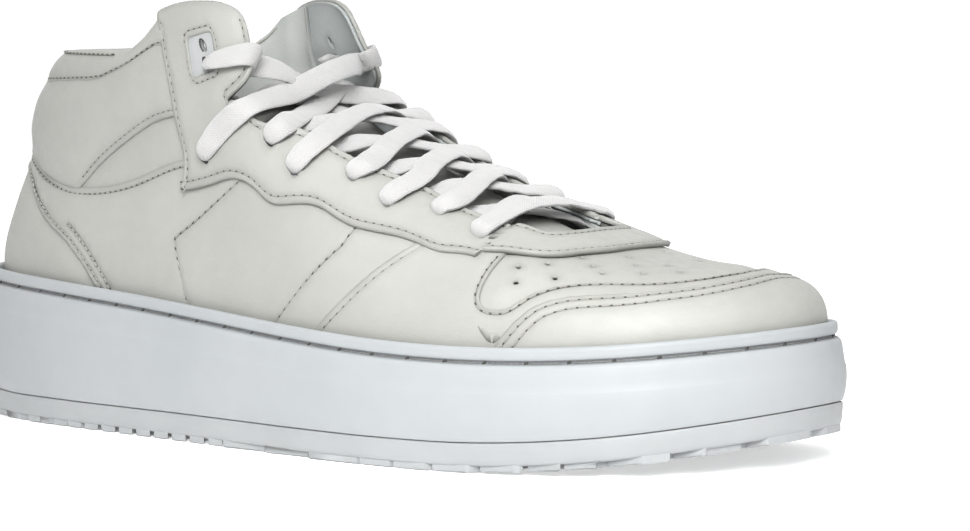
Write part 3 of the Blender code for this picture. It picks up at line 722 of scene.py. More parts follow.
def leather_look(name, colour, dark, roughness=0.47):
    """Smooth full-grain leather: fine pores and creases, faint clouding, and mottled painted shade drawn into
    its seams and along its edges.
    """
    m = Nodes(name)
    cloud = m.span(m.noise(34, 4), 0.35, 0.68)
    fine = m.span(m.noise(5, 3), 0.3, 0.7)
    tone = m.math("MULTIPLY_ADD", fine, 0.28, m.math("MULTIPLY", cloud, 0.6))
    base = m.blend(tone, colour, dark)
    # painted shade: colour darkened by the mesh's seam field, at seams, grooves and edges
    painted_seam_shade = m.math("MULTIPLY", m.field("seam"), m.span(m.noise(7, 2), 0.25, 0.7, 0.35, 0.75))
    m.set(Base_Color=m.blend(painted_seam_shade, base, tuple(0.72 * v for v in dark)))
    m.set(Roughness=m.span(m.noise(3.2, 3), 0.3, 0.7, roughness - 0.05, roughness + 0.09))
    shift = m.add("ShaderNodeTexNoise", {"Vector": m.place, "Scale": 420.0, "Detail": 2.0}).outputs["Color"]
    wrinkled = m.add("ShaderNodeVectorMath", {0: shift, 1: (0.0011, 0.0011, 0.0011), 2: m.place},
                     operation="MULTIPLY_ADD").outputs[0]
    grain = m.cells(0.85, place=wrinkled)
    pores = m.cells(0.42, place=wrinkled)
    relief = m.bump(m.span(grain, 0.0, 0.75), 0.05, 0.7)
    relief = m.bump(pores, 0.018, 0.6, relief)
    relief = m.bump(m.noise(2.6, 4, 0.6), 0.1, 0.55, relief)
    m.set(Normal=relief, Subsurface_Weight=0.05, Subsurface_Radius=(0.0015, 0.0011, 0.0008),
          Specular_IOR_Level=0.42)
    m.shader.inputs["Subsurface Scale"].default_value = 1.0
    return m.material


def rubber_look(name, colour, dark):
    """Matt moulded rubber with faint clouding and scuffs, and painted shade where the seam field is set."""
    m = Nodes(name)
    cloud = m.math("MULTIPLY", m.span(m.noise(28, 3), 0.35, 0.7), 0.55)
    scuff = m.math("MULTIPLY", m.span(m.noise(4.5, 5, 0.68), 0.6, 0.8), 0.35)
    base = m.blend(m.math("MAXIMUM", cloud, scuff), colour, dark)
    # painted shade: darker where the seam field marks the stitch groove and the wall's foot
    painted_seam_shade = m.math("MULTIPLY", m.field("seam"), 0.55)
    m.set(Base_Color=m.blend(painted_seam_shade, base, tuple(0.6 * v for v in dark)))
    m.set(Roughness=m.span(m.noise(6, 4), 0.3, 0.7, 0.5, 0.62))
    relief = m.bump(m.noise(0.5, 3), 0.02, 0.6)
    relief = m.bump(m.noise(9, 2), 0.12, 0.5, relief)
    m.set(Normal=relief, Subsurface_Weight=0.12, Subsurface_Radius=(0.002, 0.002, 0.002),
          Specular_IOR_Level=0.4)
    return m.material


def thread_look(name, colour, dark):
    """Dull spun thread."""
    m = Nodes(name)
    m.set(Base_Color=m.blend(m.span(m.noise(0.8, 3), 0.3, 0.7), colour, dark), Roughness=0.7)
    m.set(Normal=m.bump(m.noise(0.25, 2), 0.05, 0.8))
    return m.material


def woven_look(name, colour, dark, pitch=0.9, depth=0.16, sheen=0.3, roughness=0.85):
    """Weave that follows the piece's own directions, kept in its UV map in mm."""
    m = Nodes(name)
    map_node = m.add("ShaderNodeUVMap", uv_map="cloth")
    split = m.add("ShaderNodeSeparateXYZ", {0: map_node.outputs[0]})
    along, across = split.outputs[0], split.outputs[1]
    k = 2 * np.pi / pitch
    warp = m.math("SINE", m.math("MULTIPLY", across, k))
    weft = m.math("SINE", m.math("ADD", m.math("MULTIPLY", along, k * 0.8),
                                 m.math("MULTIPLY", m.math("SIGN", warp), 1.6)))
    weave = m.math("MULTIPLY", m.math("ADD", m.math("ABSOLUTE", warp), m.math("MULTIPLY", weft, 0.5)), 0.7)
    # weave colour darker where the weave's relief is low: painted shade in its hollows
    m.set(Base_Color=m.blend(m.math("MULTIPLY", m.span(m.noise(9, 3), 0.35, 0.7), 0.5),
                             m.blend(m.span(weave, -0.3, 0.7), dark, colour), dark))
    relief = m.bump(weave, depth, 0.9)
    relief = m.bump(m.noise(0.35, 3), 0.07, 0.6, relief)
    m.set(Normal=relief, Roughness=roughness, Sheen_Weight=sheen, Sheen_Roughness=0.5, Specular_IOR_Level=0.2)
    return m.material


def mesh_look(name, colour, dark, size=1.1):
    """Knitted lining cloth, read from the piece's place."""
    m = Nodes(name)
    knit = m.cells(size, "SMOOTH_F1")
    # darker at the knit's cell borders, where its relief is low: painted shade in the gaps
    m.set(Base_Color=m.blend(m.span(knit, 0.1, 0.6), colour, dark), Roughness=0.92)
    relief = m.bump(m.math("SUBTRACT", 1.0, knit), 0.2, 0.8)
    relief = m.bump(m.noise(0.4, 3), 0.06, 0.7, relief)
    m.set(Normal=relief, Sheen_Weight=0.25, Specular_IOR_Level=0.15)
    return m.material


def foam_look(name, colour, dark):
    """Open cells, also used for pressed fibre board."""
    m = Nodes(name)
    cells = m.cells(0.7)
    # darker in the cells' pits, where the relief is low: painted shade
    m.set(Base_Color=m.blend(m.span(cells, 0.05, 0.5), dark, colour), Roughness=0.95)
    m.set(Normal=m.bump(cells, 0.15, 0.8))
    return m.material


def plastic_look(name, colour, dark):
    """Smooth plastic with a soft shine."""
    m = Nodes(name)
    m.set(Base_Color=m.blend(m.span(m.noise(6, 3), 0.4, 0.7), colour, dark))
    m.set(Roughness=m.span(m.noise(3, 3), 0.3, 0.7, 0.3, 0.42), Normal=m.bump(m.noise(0.6, 3), 0.02, 0.5))
    return m.material


LEATHER = leather_look("leather", (0.280, 0.283, 0.264), (0.250, 0.252, 0.234))
RUBBER = rubber_look("white_rubber", (0.278, 0.291, 0.298), (0.248, 0.264, 0.272))
TREAD = rubber_look("tread_rubber", (0.268, 0.278, 0.282), (0.225, 0.238, 0.242))
THREAD = thread_look("pale_thread", (0.250, 0.247, 0.228), (0.198, 0.194, 0.175))
# near-black look for the beads of painted needle-hole shade
HOLE_SHADE = thread_look("needle_hole_shade", (0.050, 0.049, 0.042), (0.029, 0.028, 0.024))
SOLE_THREAD = thread_look("sole_thread", (0.160, 0.163, 0.163), (0.099, 0.103, 0.103))
LACE_COTTON = woven_look("lace_cotton", (0.395, 0.392, 0.390), (0.335, 0.332, 0.332))
LINING = mesh_look("lining_cloth", (0.250, 0.260, 0.255), (0.180, 0.190, 0.185))
SMOOTH_LINING = leather_look("lining_leather", (0.330, 0.350, 0.348), (0.265, 0.284, 0.281), 0.6)
COLLAR_LINING = leather_look("collar_lining", (0.345, 0.357, 0.345), (0.290, 0.304, 0.294), 0.6)
INSOLE = mesh_look("insole_cloth", (0.260, 0.260, 0.248), (0.200, 0.200, 0.188), 0.9)
FOAM = foam_look("foam", (0.312, 0.304, 0.266), (0.236, 0.228, 0.190))
BOARD = foam_look("board", (0.209, 0.190, 0.160), (0.160, 0.144, 0.118))
PLASTIC = plastic_look("white_plastic", (0.300, 0.308, 0.310), (0.270, 0.276, 0.278))
CLEAR_TIP = plastic_look("lace_tip", (0.274, 0.281, 0.285), (0.228, 0.236, 0.239))


# ---- camera, floor and light -------------------------------------------------------------------------------
SKY = 0.5          # strength of the sky all round
SKY_LOBE, LOBE = 0.66, (-0.6, 0.8, 0.0)          # what it gains towards this direction
FLOOR_TONE, FLOOR_GLOW = 0.85, 0.47
# Name, place, target, width in metres, spread in degrees and watts of each lamp.
LAMPS = [("key", (0.38, -0.50, 0.42), (0.08, -0.04, 0.075), 0.5, 50, 1.35),
         ("top", (0.05, -0.1, 1.2), (0.05, 0, 0), 0.8, 70, 1.0)]
VIEW = 37.4, 4.6, -0.6          # azimuth, elevation and roll of the camera, in degrees
VIEW_TARGET = (0.0398, 0, 0.0529)
VIEW_LENS = 125.6


def make_stage():
    """Endless pale floor under a pale sky that is brighter behind the shoe, and two soft lamps."""
    floor_mesh = bpy.data.meshes.new("floor")
    floor_mesh.from_pydata([(-90, -90, 0), (90, -90, 0), (90, 90, 0), (-90, 90, 0)], [], [(0, 1, 2, 3)])
    floor = bpy.data.objects.new("floor", floor_mesh)
    bpy.context.scene.collection.objects.link(floor)
    m = Nodes("floor")
    m.set(Base_Color=(FLOOR_TONE,) * 3 + (1,), Roughness=0.9, Specular_IOR_Level=0.1,
          Emission_Color=(1, 1, 1, 1), Emission_Strength=FLOOR_GLOW)
    dress(floor, m.material)
    world = bpy.data.worlds.new("studio")
    world.use_nodes = True
    tree = world.node_tree
    background = tree.nodes["Background"]
    background.inputs["Color"].default_value = (1.0, 1.0, 1.0, 1)
    place = tree.nodes.new("ShaderNodeTexCoord")
    facing = tree.nodes.new("ShaderNodeVectorMath")
    facing.operation = "DOT_PRODUCT"
    facing.inputs[1].default_value = LOBE
    tree.links.new(place.outputs["Generated"], facing.inputs[0])
    strength = tree.nodes.new("ShaderNodeMapRange")
    strength.inputs["From Min"].default_value = 0.0
    strength.inputs["From Max"].default_value = 1.0
    strength.inputs["To Min"].default_value = SKY
    strength.inputs["To Max"].default_value = SKY + SKY_LOBE
    tree.links.new(facing.outputs["Value"], strength.inputs["Value"])
    tree.links.new(strength.outputs[0], background.inputs["Strength"])
    bpy.context.scene.world = world
    for name, place, target, size, spread, power in LAMPS:
        data = bpy.data.lights.new(name, "AREA")
        data.shape, data.size, data.energy, data.spread = "DISK", size, power, np.radians(spread)
        lamp = bpy.data.objects.new(name, data)
        lamp.location = place
        lamp.rotation_euler = (Vector(target) - Vector(place)).to_track_quat("-Z", "Y").to_euler()
        bpy.context.scene.collection.objects.link(lamp)
    bpy.context.scene.view_settings.view_transform = "Standard"


def make_camera():
    """Camera one metre from its target."""
    azimuth, elevation, roll = np.radians(VIEW)
    target = Vector(VIEW_TARGET)
    back = Vector((np.sin(azimuth) * np.cos(elevation), -np.cos(azimuth) * np.cos(elevation),
                   np.sin(elevation)))
    right = Vector((np.cos(azimuth), np.sin(azimuth), 0))
    up = back.cross(right)
    right, up = right * np.cos(roll) + up * np.sin(roll), up * np.cos(roll) - right * np.sin(roll)
    camera = bpy.data.objects.new("camera", bpy.data.cameras.new("camera"))
    camera.data.lens = VIEW_LENS
    camera.data.sensor_width = 36
    axes = Matrix((right, up, back)).transposed().to_4x4()
    camera.matrix_world = Matrix.Translation(target + back) @ axes
    bpy.context.scene.collection.objects.link(camera)
    bpy.context.scene.camera = camera


make_stage()
make_camera()


# ---- sole --------------------------------------------------------------------------------------------------
WALL_FOOT, WALL_HEAD = 12.5, 13          # the plain wall's ends: above the ground, and below the lip


def ground(x):
    """Height of the underside, sprung at the toe and cut up at the heel."""
    toe = np.maximum(0.0, (x - FLAT_BALL) / 90)
    heel = np.maximum(0.0, (FLAT_HEEL - x) / 36)
    return TOE_SPRING * toe**2 + HEEL_BEVEL * heel**2


def swept_ring(name, profile, a, wobble=0.0, seam_at=()):
    """Closed ring swept round the sole.  profile holds (inset, anchor, offset): an offset down from the lip or
    up from the ground, or a share of the way between the two ends of the wall."""
    insets = np.array([p[0] for p in profile])
    spots = outline(a[:, None], insets[None, :])
    x = spots[..., 0]
    lip, floor = LIP(x), ground(x)
    z = np.empty_like(x)
    for j, (_, anchor, offset) in enumerate(profile):
        if anchor == "lip":
            z[:, j] = lip[:, j] - offset
        elif anchor == "ground":
            z[:, j] = floor[:, j] + offset
        else:
            z[:, j] = floor[:, j] + WALL_FOOT + offset * (lip[:, j] - WALL_HEAD - floor[:, j] - WALL_FOOT)
    points = np.dstack([spots, z])
    if wobble:
        flat = points.reshape(-1, 3)
        push = wobble * lump(flat, 40, 5).reshape(x.shape)
        out = spots - outline(a[:, None], insets[None, :] + 1)
        points[..., :2] += push[..., None] * out
    rows, count = len(a), len(profile)
    index = np.arange(rows * count).reshape(rows, count)
    faces = []
    for i in range(rows):
        here, there = index[i], index[(i + 1) % rows]
        faces += [(here[j], there[j], there[(j + 1) % count], here[(j + 1) % count]) for j in range(count)]
    # seam: mask of painted shade on the columns in seam_at
    seam = np.zeros((rows, count))
    for j in seam_at:
        seam[:, j] = 1
    made = make_mesh(name, points.reshape(-1, 3), faces, angle=0.7, fields={"seam": seam.ravel()})
    orient(made)
    return made, points


SOLE_COUNT = 620          # stations round the sole's rings


def make_cupsole():
    """Wall of the sole with its rounded lip, and the groove with its long stitches."""
    arc = [(3.75 - 1.25 * np.cos(g) * (1 if np.cos(g) > 0 else 0.9), "lip", 1.3 - 1.3 * np.sin(g))
           for g in np.radians(np.arange(-10, 181, 19))]
    profile = [(1.5, "ground", 8.7), (1.15, "ground", 8.75), (0.95, "ground", 9.1), (0.8, "ground", 9.7),
               (0.45, "ground", 11), (0.2, "wall", 0.0), (0.05, "wall", 0.25), (0.0, "wall", 0.5),
               (0.05, "wall", 0.75), (0.22, "wall", 1.0), (0.32, "lip", 12.6), (0.55, "lip", 12.0),
               (0.8, "lip", 10.5), (1.05, "lip", 8.5), (1.35, "lip", 6.6), (1.65, "lip", 5.7),
               (2.05, "lip", 5.15), (2.5, "lip", 4.85), (3.0, "lip", 4.75), (3.5, "lip", 4.6),
               (3.65, "lip", 4.2), (3.45, "lip", 3.85), (2.95, "lip", 3.7), (2.65, "lip", 3.4),
               (2.5, "lip", 2.9), (2.47, "lip", 2.2)]
    profile += arc + [(5.35, "lip", 3), (5.5, "lip", 8), (5.5, "ground", 12.2), (3.0, "ground", 8.9)]
    a = np.linspace(-1, 1, SOLE_COUNT, endpoint=False)
    # seam_at: the stitch groove (17 to 22) and the wall's foot (0), darkened as painted shade
    made, points = swept_ring("cupsole_wall", profile, a, wobble=0.12, seam_at=(17, 18, 19, 20, 21, 22, 0))
    dress(made, RUBBER)
    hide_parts("cupsole")
    line = points[:, 20] * 0.5 + points[:, 19] * 0.5
    outward = points[:, 20] - np.concatenate([outline(a, 6.0), points[:, 20, 2:]], axis=1)
    line = np.vstack([line, line[:1]])
    outward = np.vstack([outward, outward[:1]])
    outward /= np.linalg.norm(outward, axis=1)[:, None]
    count = int(lengths_along(line)[-1] / 12.4)
    at = (np.arange(count) + 0.5) * lengths_along(line)[-1] / count
    beads("sole", line + 0.1 * outward, outward, at, 11.2, 0.36, 0.25)
    # dark beads between the long stitches: painted shade of their needle holes
    beads("hole_shade", line + 0.1 * outward, outward, at + 6.2, 1.5, 0.42, 0.1, 0.5)


def make_outsole():
    """Sole band with its plate, and the treads under it."""
    a = np.linspace(-1, 1, SOLE_COUNT, endpoint=False)
    profile = [(3.2, "ground", 2.0), (2.4, "ground", 1.9), (1.9, "ground", 2.1), (1.55, "ground", 2.6),
               (1.3, "ground", 4.0), (1.15, "ground", 6.0), (1.1, "ground", 7.8), (1.3, "ground", 8.3),
               (1.9, "ground", 8.55), (3.0, "ground", 8.6)]
    insets = np.array([p[0] for p in profile])
    spots = outline(a[:, None], insets[None, :])
    z = ground(spots[..., 0]) + np.array([p[2] for p in profile])
    rim = np.dstack([spots, z])
    rows, count = rim.shape[:2]
    points = list(rim.reshape(-1, 3))
    index = np.arange(rows * count).reshape(rows, count)
    faces = []
    for i in range(rows):
        here, there = index[i], index[(i + 1) % rows]
        faces += [(here[j], there[j], there[j + 1], here[j + 1]) for j in range(count - 1)]
    for column in (0, count - 1):          # plate: strips straight across between the two sides
        half = rows // 2
        for i in range(half):
            p, q = index[i][column], index[i + 1][column]
            r, s = index[(rows - i - 1) % rows][column], index[(rows - i) % rows][column]
            loop = [p, q, r, s]
            loop = [v for k, v in enumerate(loop) if v != loop[k - 1]]
            if len(set(loop)) > 2:
                faces.append(tuple(loop))
    made = make_mesh("outsole_band", points, faces, angle=0.7, fields={"seam": np.zeros(len(points))})
    orient(made)
    dress(made, TREAD)
    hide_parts("outsole")
    treads = make_treads()
    dress(treads, TREAD)


def tread_rows():
    """Middle x of each tread, and how wide it is."""
    rows, x = [], -143.0
    while x < 140:
        waist = -28 < x < 34
        pitch = 7.5 if x < -28 else (20.5 if waist else 12.4)
        rows.append((x + pitch / 2, pitch - (1.5 if not waist else 1.2)))
        x += pitch
    return rows


def make_treads():
    """Zigzag treads across the sole, each a bar with softened edges, running out to the edge."""
    edge = closed_curve([tuple(p) for p in outline(np.linspace(-1, 1, 60, endpoint=False), 1.75)], 900)
    points, faces = [], []

    def swing(y):
        return 3.0 * (2 / np.pi) * np.arcsin(np.sin(2 * np.pi * (y + 3) / 17.0))

    for middle, width in tread_rows():
        y = np.arange(-62, 62.01, 1.0)
        y = y[inside(np.column_stack([middle + swing(y), y]), edge)]
        if len(y) < 6:
            continue
        y = np.linspace(y[0] - 0.6, y[-1] + 0.6, len(y) + 1)
        half = width / 2
        section = np.array([(-half, 2.3), (-half + 0.1, 0.5), (-half + 0.5, 0.0), (half - 0.5, 0.0),
                            (half - 0.1, 0.5), (half, 2.3)])
        count, start = len(section), len(points)
        lift = np.zeros(len(y))
        lift[[0, -1]] = 0.45
        spots = np.dstack([(middle + swing(y))[:, None] + section[None, :, 0],
                           np.repeat(y[:, None], count, axis=1)]).reshape(-1, 2)
        outside = ~inside(spots, edge)
        nearest = ((spots[outside, None, :] - edge[None]) ** 2).sum(2).argmin(1)
        spots[outside] = edge[nearest]
        up = np.maximum(section[None, :, 1], lift[:, None]).ravel()
        points.extend(np.column_stack([spots, ground(spots[:, 0]) + up]))
        for k in range(len(y) - 1):
            row = start + k * count
            faces += [(row + j, row + count + j, row + count + (j + 1) % count, row + (j + 1) % count)
                      for j in range(count)]
        faces.append(tuple(start + j for j in range(count))[::-1])
        faces.append(tuple(start + (len(y) - 1) * count + j for j in range(count)))
    made = make_mesh("outsole_treads", points, faces, angle=0.6, fields={"seam": np.zeros(len(points))})
    orient(made)
    return made


# ---- outer pieces of the upper -----------------------------------------------------------------------------
SIDES = {"lateral": -1, "medial": 1}
THROAT_EDGE = [(-27.6, 101.3), (-23.4, 101.6), (-16.7, 96.4), (-4.3, 93.4), (8.5, 86.8), (22, 81.1),
               (36.9, 75.4), (53.7, 69.3), (68.7, 65.4)]
THROAT_FRONT = [(74.0, -17.0), (77.0, -10.5), (78.2, -4.0), (78.4, 2.2)]
STAY_LOW = [(-44.5, 75.0), (-40.8, 75.2), (-29.8, 77.3), (-23, 79), (-18.4, 78.8), (-12.8, 76.9),
            (-6.2, 72.8), (-0.1, 72), (10.1, 72), (17.2, 69.3), (25.4, 66.2), (42.4, 63.2), (54.7, 59.9),
            (65, 58.9)]
STAY_FRONT = [(82.5, -27), (89.0, -16.5), (92.4, -7), (93.3, 2.6)]
FLAP_BACK = [(-44.5, 75.0), (-43.2, 79), (-42.9, 83), (-43.9, 87.5), (-46.6, 93), (-49.8, 102), (-52.6, 111),
             (-55.3, 120), (-58.0, 128.4)]
FLAP_TOP = [(-58.0, 128.4), (-55, 129.5), (-50.5, 130.7), (-45.5, 131.5), (-41, 131.6), (-34.5, 130.9),
            (-30.8, 129.3), (-28.2, 127.2), (-25.6, 122.7), (-24, 118.7), (-21.2, 112.2), (-21.4, 110.8)]
FLAP_FRONT = [(-21.4, 110.8), (-22.0, 108.0), (-24.2, 105), (-27.0, 102.4)]
TOE_SEAM = [(72.1, 0.636), (72.2, 0.572), (72.4, 0.444), (73.3, 0.324), (75.7, 0.288), (80.4, 0.294),
            (83.4, 0.332), (86.8, 0.416), (89.5, 0.47), (93.6, 0.532), (103.3, 0.604), (118.9, 0.638),
            (131.2, 0.678), (141.0, 0.725), (144.3, 0.738)]          # x and t
GUARD_SEAM = [(78.7, 0.0), (79.6, 0.066), (82.9, 0.168), (86.8, 0.276), (89.8, 0.348), (92.8, 0.396),
              (99.4, 0.46), (113.5, 0.512), (123.7, 0.55), (133.9, 0.592), (144.1, 0.665)]          # x and t
VAMP_SEAM = [(13.2, 34.6), (15.6, 36.8), (30.5, 49.2), (46.3, 62.2), (51, 66)]          # over the quarter
PERFORATIONS = [(81.1, 0.476), (78.4, 0.568), (89.8, 0.58), (84.3, 0.65), (100.3, 0.692), (95.2, 0.73),
                (89.2, 0.772), (112.3, 0.744), (105.2, 0.83), (97.6, 0.9), (126.3, 0.788), (117.0, 0.9)]
PLATE_WINDOW = [(-44.5, 120.4), (-35.7, 122.4), (-32.5, 111.2), (-41.2, 108.5)]
STAY_TOP = 1.5          # how far out the face of the eyestay lies
FLAP_UNSEWN = 125.5          # height above which the flaps have no stitches


def on_wall(points, side, beyond=False):
    """Wall drawing's points at these (x, z), or (x, t) where the second value is small.  beyond carries the
    medial side on past the toe, so that one drawing goes round it."""
    made = []
    for x, height in points:
        a = a_at(x, side)
        t = height if height < 1.5 else level(a, height)
        made.append((a * SIDE_LENGTH - (2 * SIDE_LENGTH if beyond and side > 0 else 0), float(g_of(a, t))))
    return np.array(made)


def chain(*parts):
    """One line from several, without doubled points."""
    line = np.vstack(parts)
    keep = np.concatenate([[True], np.linalg.norm(np.diff(line, axis=0), axis=1) > 0.15])
    line = line[keep]
    return line[:-1] if np.linalg.norm(line[0] - line[-1]) < 0.15 else line


def straight(a, b, step=0.9):
    """Straight line of even steps."""
    return even(np.array([a, b], float), step)


def beside(line, by, loop):
    """The border line moved this far into the loop."""
    made = shifted(line, by)
    return made if inside(made[len(made) // 2][None], loop)[0] else shifted(line, -by)


def softened(loop, times=4):
    """Loop with its corners rounded off."""
    for _ in range(times):
        loop = 0.25 * np.roll(loop, 1, 0) + 0.5 * loop + 0.25 * np.roll(loop, -1, 0)
    return loop


def finish_piece(piece, *nodes, slot="upper_leather", look=LEATHER):
    """Gives a piece its material and hides the CAD nodes it stands for."""
    dress(piece, look)
    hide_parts(*nodes)


HEM = -7          # girth of the hidden lower edges, under the lip of the sole


def make_quarters():
    """Side panels, from the heel panel's seam forward to under the vamp."""
    for name, side in SIDES.items():
        seam = [p for p in COLLAR_SEAM if -143 < p[0]]
        top = curved(on_wall([(-143.9, 86.8)] + seam + [(-36, 84), (-20, 84.5)], side), 0.9)
        under_stay = curved(on_wall([(-20, 84.5), (0, 78), (20, 74), (40, 69), (58, 66)], side), 0.9)
        front = curved(on_wall([(58, 66), (38, 49.5), (22.5, 35.5)], side), 0.9)
        rear = curved(on_wall([(-80.3, 41), (-84.1, 45.6), (-94.4, 54.8), (-102, 59.2), (-111, 63.5),
                               (-124.2, 70.9), (-134, 77), (-143.9, 83.6)], side), 0.9)
        foot = straight((front[-1][0], HEM), (rear[0][0], HEM))
        loop = chain(top, under_stay, front, straight(front[-1], foot[0]), foot,
                     straight(foot[-1], rear[0]), rear, straight(rear[-1], top[0]))
        drawing = Drawing(wall_chart, loop, spacing=1.9)
        for points in ([(-17.8, 79.6), (-37.1, 66.4), (-46.6, 60.6), (-46.4, 58.5), (-43.5, 50),
                        (-40.0, 39.6)],
                       [(25.3, 66.4), (22.9, 61.1), (-3.6, 35.4)]):
            sew_flat("quarter", drawing, even(on_wall(points, side), 0.8), 0, pitch=3.2, hole=1.25,
                     slant=0.16)
        sew_flat("collar", drawing, beside(top, 2.1, loop)[3:-12], 0, 0.25, 0.7, pitch=2.5, hole=1.15)
        for offset, width in ((1.5, 0.7), (4.6, 0.8)):
            line = beside(rear, offset, loop)
            line = line[(line[:, 1] > 1) & (np.arange(len(line)) < len(line) - 4)]
            line = line + 0.22 * np.column_stack([np.sin(np.arange(len(line)) * 1.7 + offset),
                                                  np.cos(np.arange(len(line)) * 2.3)])
            if offset > 3:
                line = line[line[:, 1] < 22]
            sew_flat("heel", drawing, line, 0.25, 0.45, width, pitch=2.3, hole=0.62, thick=0.36)
        edge = wall_line(rear)

        def swell(points, to_edge):
            band = distance(points, edge)
            ridge = 0.5 * np.exp(-((band - 0.9) / 0.9) ** 2) + 0.3 * np.exp(-((band - 3.1) / 1.0) ** 2)
            heel = smoothstep(-points[:, 0], 60, 120)
            return (ridge * (1 + 0.5 * lump(points, 3.1, 21)) + 0.22 * lump(points, 34, 3)
                    + 0.18 * heel * lump(points, 16, 8))

        made = leather_piece(name + "_quarter_cut", drawing, 0.0, -1.4, edge=0.7, swell=swell, seed=1)
        finish_piece(made, name + "_quarter")


def wall_line(line):
    """A line of the wall drawing, laid on the upper."""
    a, t = wall_chart(line)
    return upper(a, t)


def make_heel_panel():
    """Panel round the heel, with a soft hollow along the seam above it."""
    rear = [(-79, 38), (-81.8, 45.5), (-93, 56.6), (-102, 61.6), (-111, 66), (-124, 73.4), (-134, 79.5),
            (-143.9, 86)]
    top = curved(np.vstack([on_wall(rear, -1), on_wall(rear[::-1], 1)]), 0.9, power=0.9)
    ends = (top[0][0], HEM), (top[-1][0], HEM)
    loop = chain(top, straight(top[-1], ends[1]), straight(ends[1], ends[0]), straight(ends[0], top[0]))
    both = np.vstack([on_wall(HEEL_SEAM[1:], -1), on_wall(HEEL_SEAM[:0:-1], 1)])
    seam = wall_line(curved(both, 0.9, power=0.9))

    def swell(points, to_edge):
        return -0.95 * np.exp(-(distance(points, seam) / 3.5) ** 2) + 0.3 * lump(points, 26, 8)

    made = leather_piece("heel_panel", Drawing(wall_chart, loop, spacing=1.9), 0.15, -1.5, edge=0.6,
                         swell=swell, seed=6, rough=0.25)
    finish_piece(made, "heel_foxing")


def round_the_toe(points):
    """Line of the wall drawing through these (x, t) on the lateral side, round the toe and back."""
    lateral, medial = (on_wall(points, side, beyond=True) for side in (-1, 1))
    tip = (-SIDE_LENGTH, np.mean([lateral[-1][1], medial[-1][1]]) + 0.3)
    return curved(np.vstack([lateral, [tip], medial[::-1]]), 0.75)


def make_vamp():
    """Front overlay, round the toe, with the opening for the toe panel."""
    joins = round_the_toe(TOE_SEAM)
    edges, tops = [], []
    for side in (-1, 1):
        edges.append(curved(on_wall(VAMP_SEAM, side, True), 0.8))
        tops.append(curved(np.vstack([on_wall([VAMP_SEAM[-1], (60, 66.5), (68, 65)], side, True),
                                      on_wall(TOE_SEAM[:1], side, True)]), 0.9))
    low = straight((edges[1][0][0], HEM), (edges[0][0][0], HEM))
    loop = chain(edges[0], tops[0], joins, tops[1][::-1], edges[1][::-1], straight(edges[1][0], low[0]), low,
                 straight(low[-1], edges[0][0]))
    drawing = Drawing(wall_chart, loop, spacing=1.8)
    for edge in edges:
        line = beside(edge, 2.0, loop)
        sew_flat("vamp", drawing, line[line[:, 1] > 0], 0.3, pitch=3.2, hole=1.2, slant=0.12)
    line = beside(joins, 1.25, loop)
    sew_flat("vamp", drawing, line[6:-6], 0.55, 0.32, 0.6, pitch=3.0, hole=1.05)
    raised = np.vstack([wall_line(edge) for edge in edges])
    opening = wall_line(joins)

    def swell(points, to_edge):
        return (0.32 * np.exp(-(distance(points, raised) / 6) ** 2)
                + 0.35 * np.exp(-(distance(points, opening) / 5) ** 2) + 0.2 * lump(points, 30, 3))

    made = leather_piece("vamp_overlay", drawing, 0.15, -1.4, edge=0.55, swell=swell, seed=2)
    finish_piece(made, "vamp")


def make_toe_box():
    """Perforated panel over the toes, seen through the opening of the vamp."""
    lateral, medial = ([plan_point(x, t, side) for x, t in TOE_SEAM[1:]] for side in (-1, 1))
    tip = 0.5 * (lateral[-1] + medial[-1]) + (1.0, 0)
    border = curved(lateral + [tip] + medial[::-1], 0.8)
    loop = chain(border, curved([border[-1], (76.5, 30), (81, 20), (84, 10), (85, 1), (84, -9), (80.5, -19),
                                 (75.5, -30), border[0]], 0.8))
    outer = shifted(loop, -1.9 if area_of(loop) > 0 else 1.9, True)
    turn = np.arange(12) * np.pi / 6
    holes = []
    for side in (-1, 1):
        for x, t in PERFORATIONS:
            normal = normal_at(np.array([a_at(x, side)]), np.array([t]))[0]
            along = normal[:2] / max(np.linalg.norm(normal[:2]), 1e-6)
            circle = np.column_stack([np.cos(turn), np.sin(turn)]) * 0.72
            narrowed = circle - (circle @ along)[:, None] * along * (1 - normal[2])
            holes.append(plan_point(x, t, side) + narrowed)
    drawing = Drawing(plan_chart, softened(even(outer, 0.8, True), 2), spacing=1.5, holes=holes)
    seam = upper(*plan_chart(border))

    def swell(points, to_edge):
        return -0.85 * np.exp(-(distance(points, seam) / 4.5) ** 2) + 0.22 * lump(points, 24, 14)

    made = leather_piece("toe_box", drawing, 0.15, -1.2, edge=0.3, swell=swell, seed=2, rough=0.1)
    finish_piece(made, "toe_panel")


def make_mudguard():
    """Band round the toe with two rows of stitches."""
    top = round_the_toe(GUARD_SEAM)
    low = straight(top[-1] + (0.8, -6), top[0] + (-0.8, -6))
    loop = chain(top, straight(top[-1], low[0]), low, straight(low[-1], top[0]))
    drawing = Drawing(wall_chart, loop, spacing=1.6)
    for offset in (1.8, 4.5):
        line = beside(top, offset, loop)
        line = line[(line[:, 1] > 0.4) & (np.arange(len(line)) > 3) & (np.arange(len(line)) < len(line) - 4)]
        sew_flat("toe", drawing, line, 1.0, 0.32, 0.7, pitch=3.2, hole=1.0, thick=0.3)

    def swell(points, to_edge):
        return 0.25 * smoothstep(to_edge, 5, 14) + 0.25 * lump(points, 28, 31) * smoothstep(to_edge, 3, 10)

    made = leather_piece("mudguard_cut", drawing, 1.0, -0.2, edge=0.9, swell=swell, seed=4, rough=0.2)
    finish_piece(made, "mudguard")


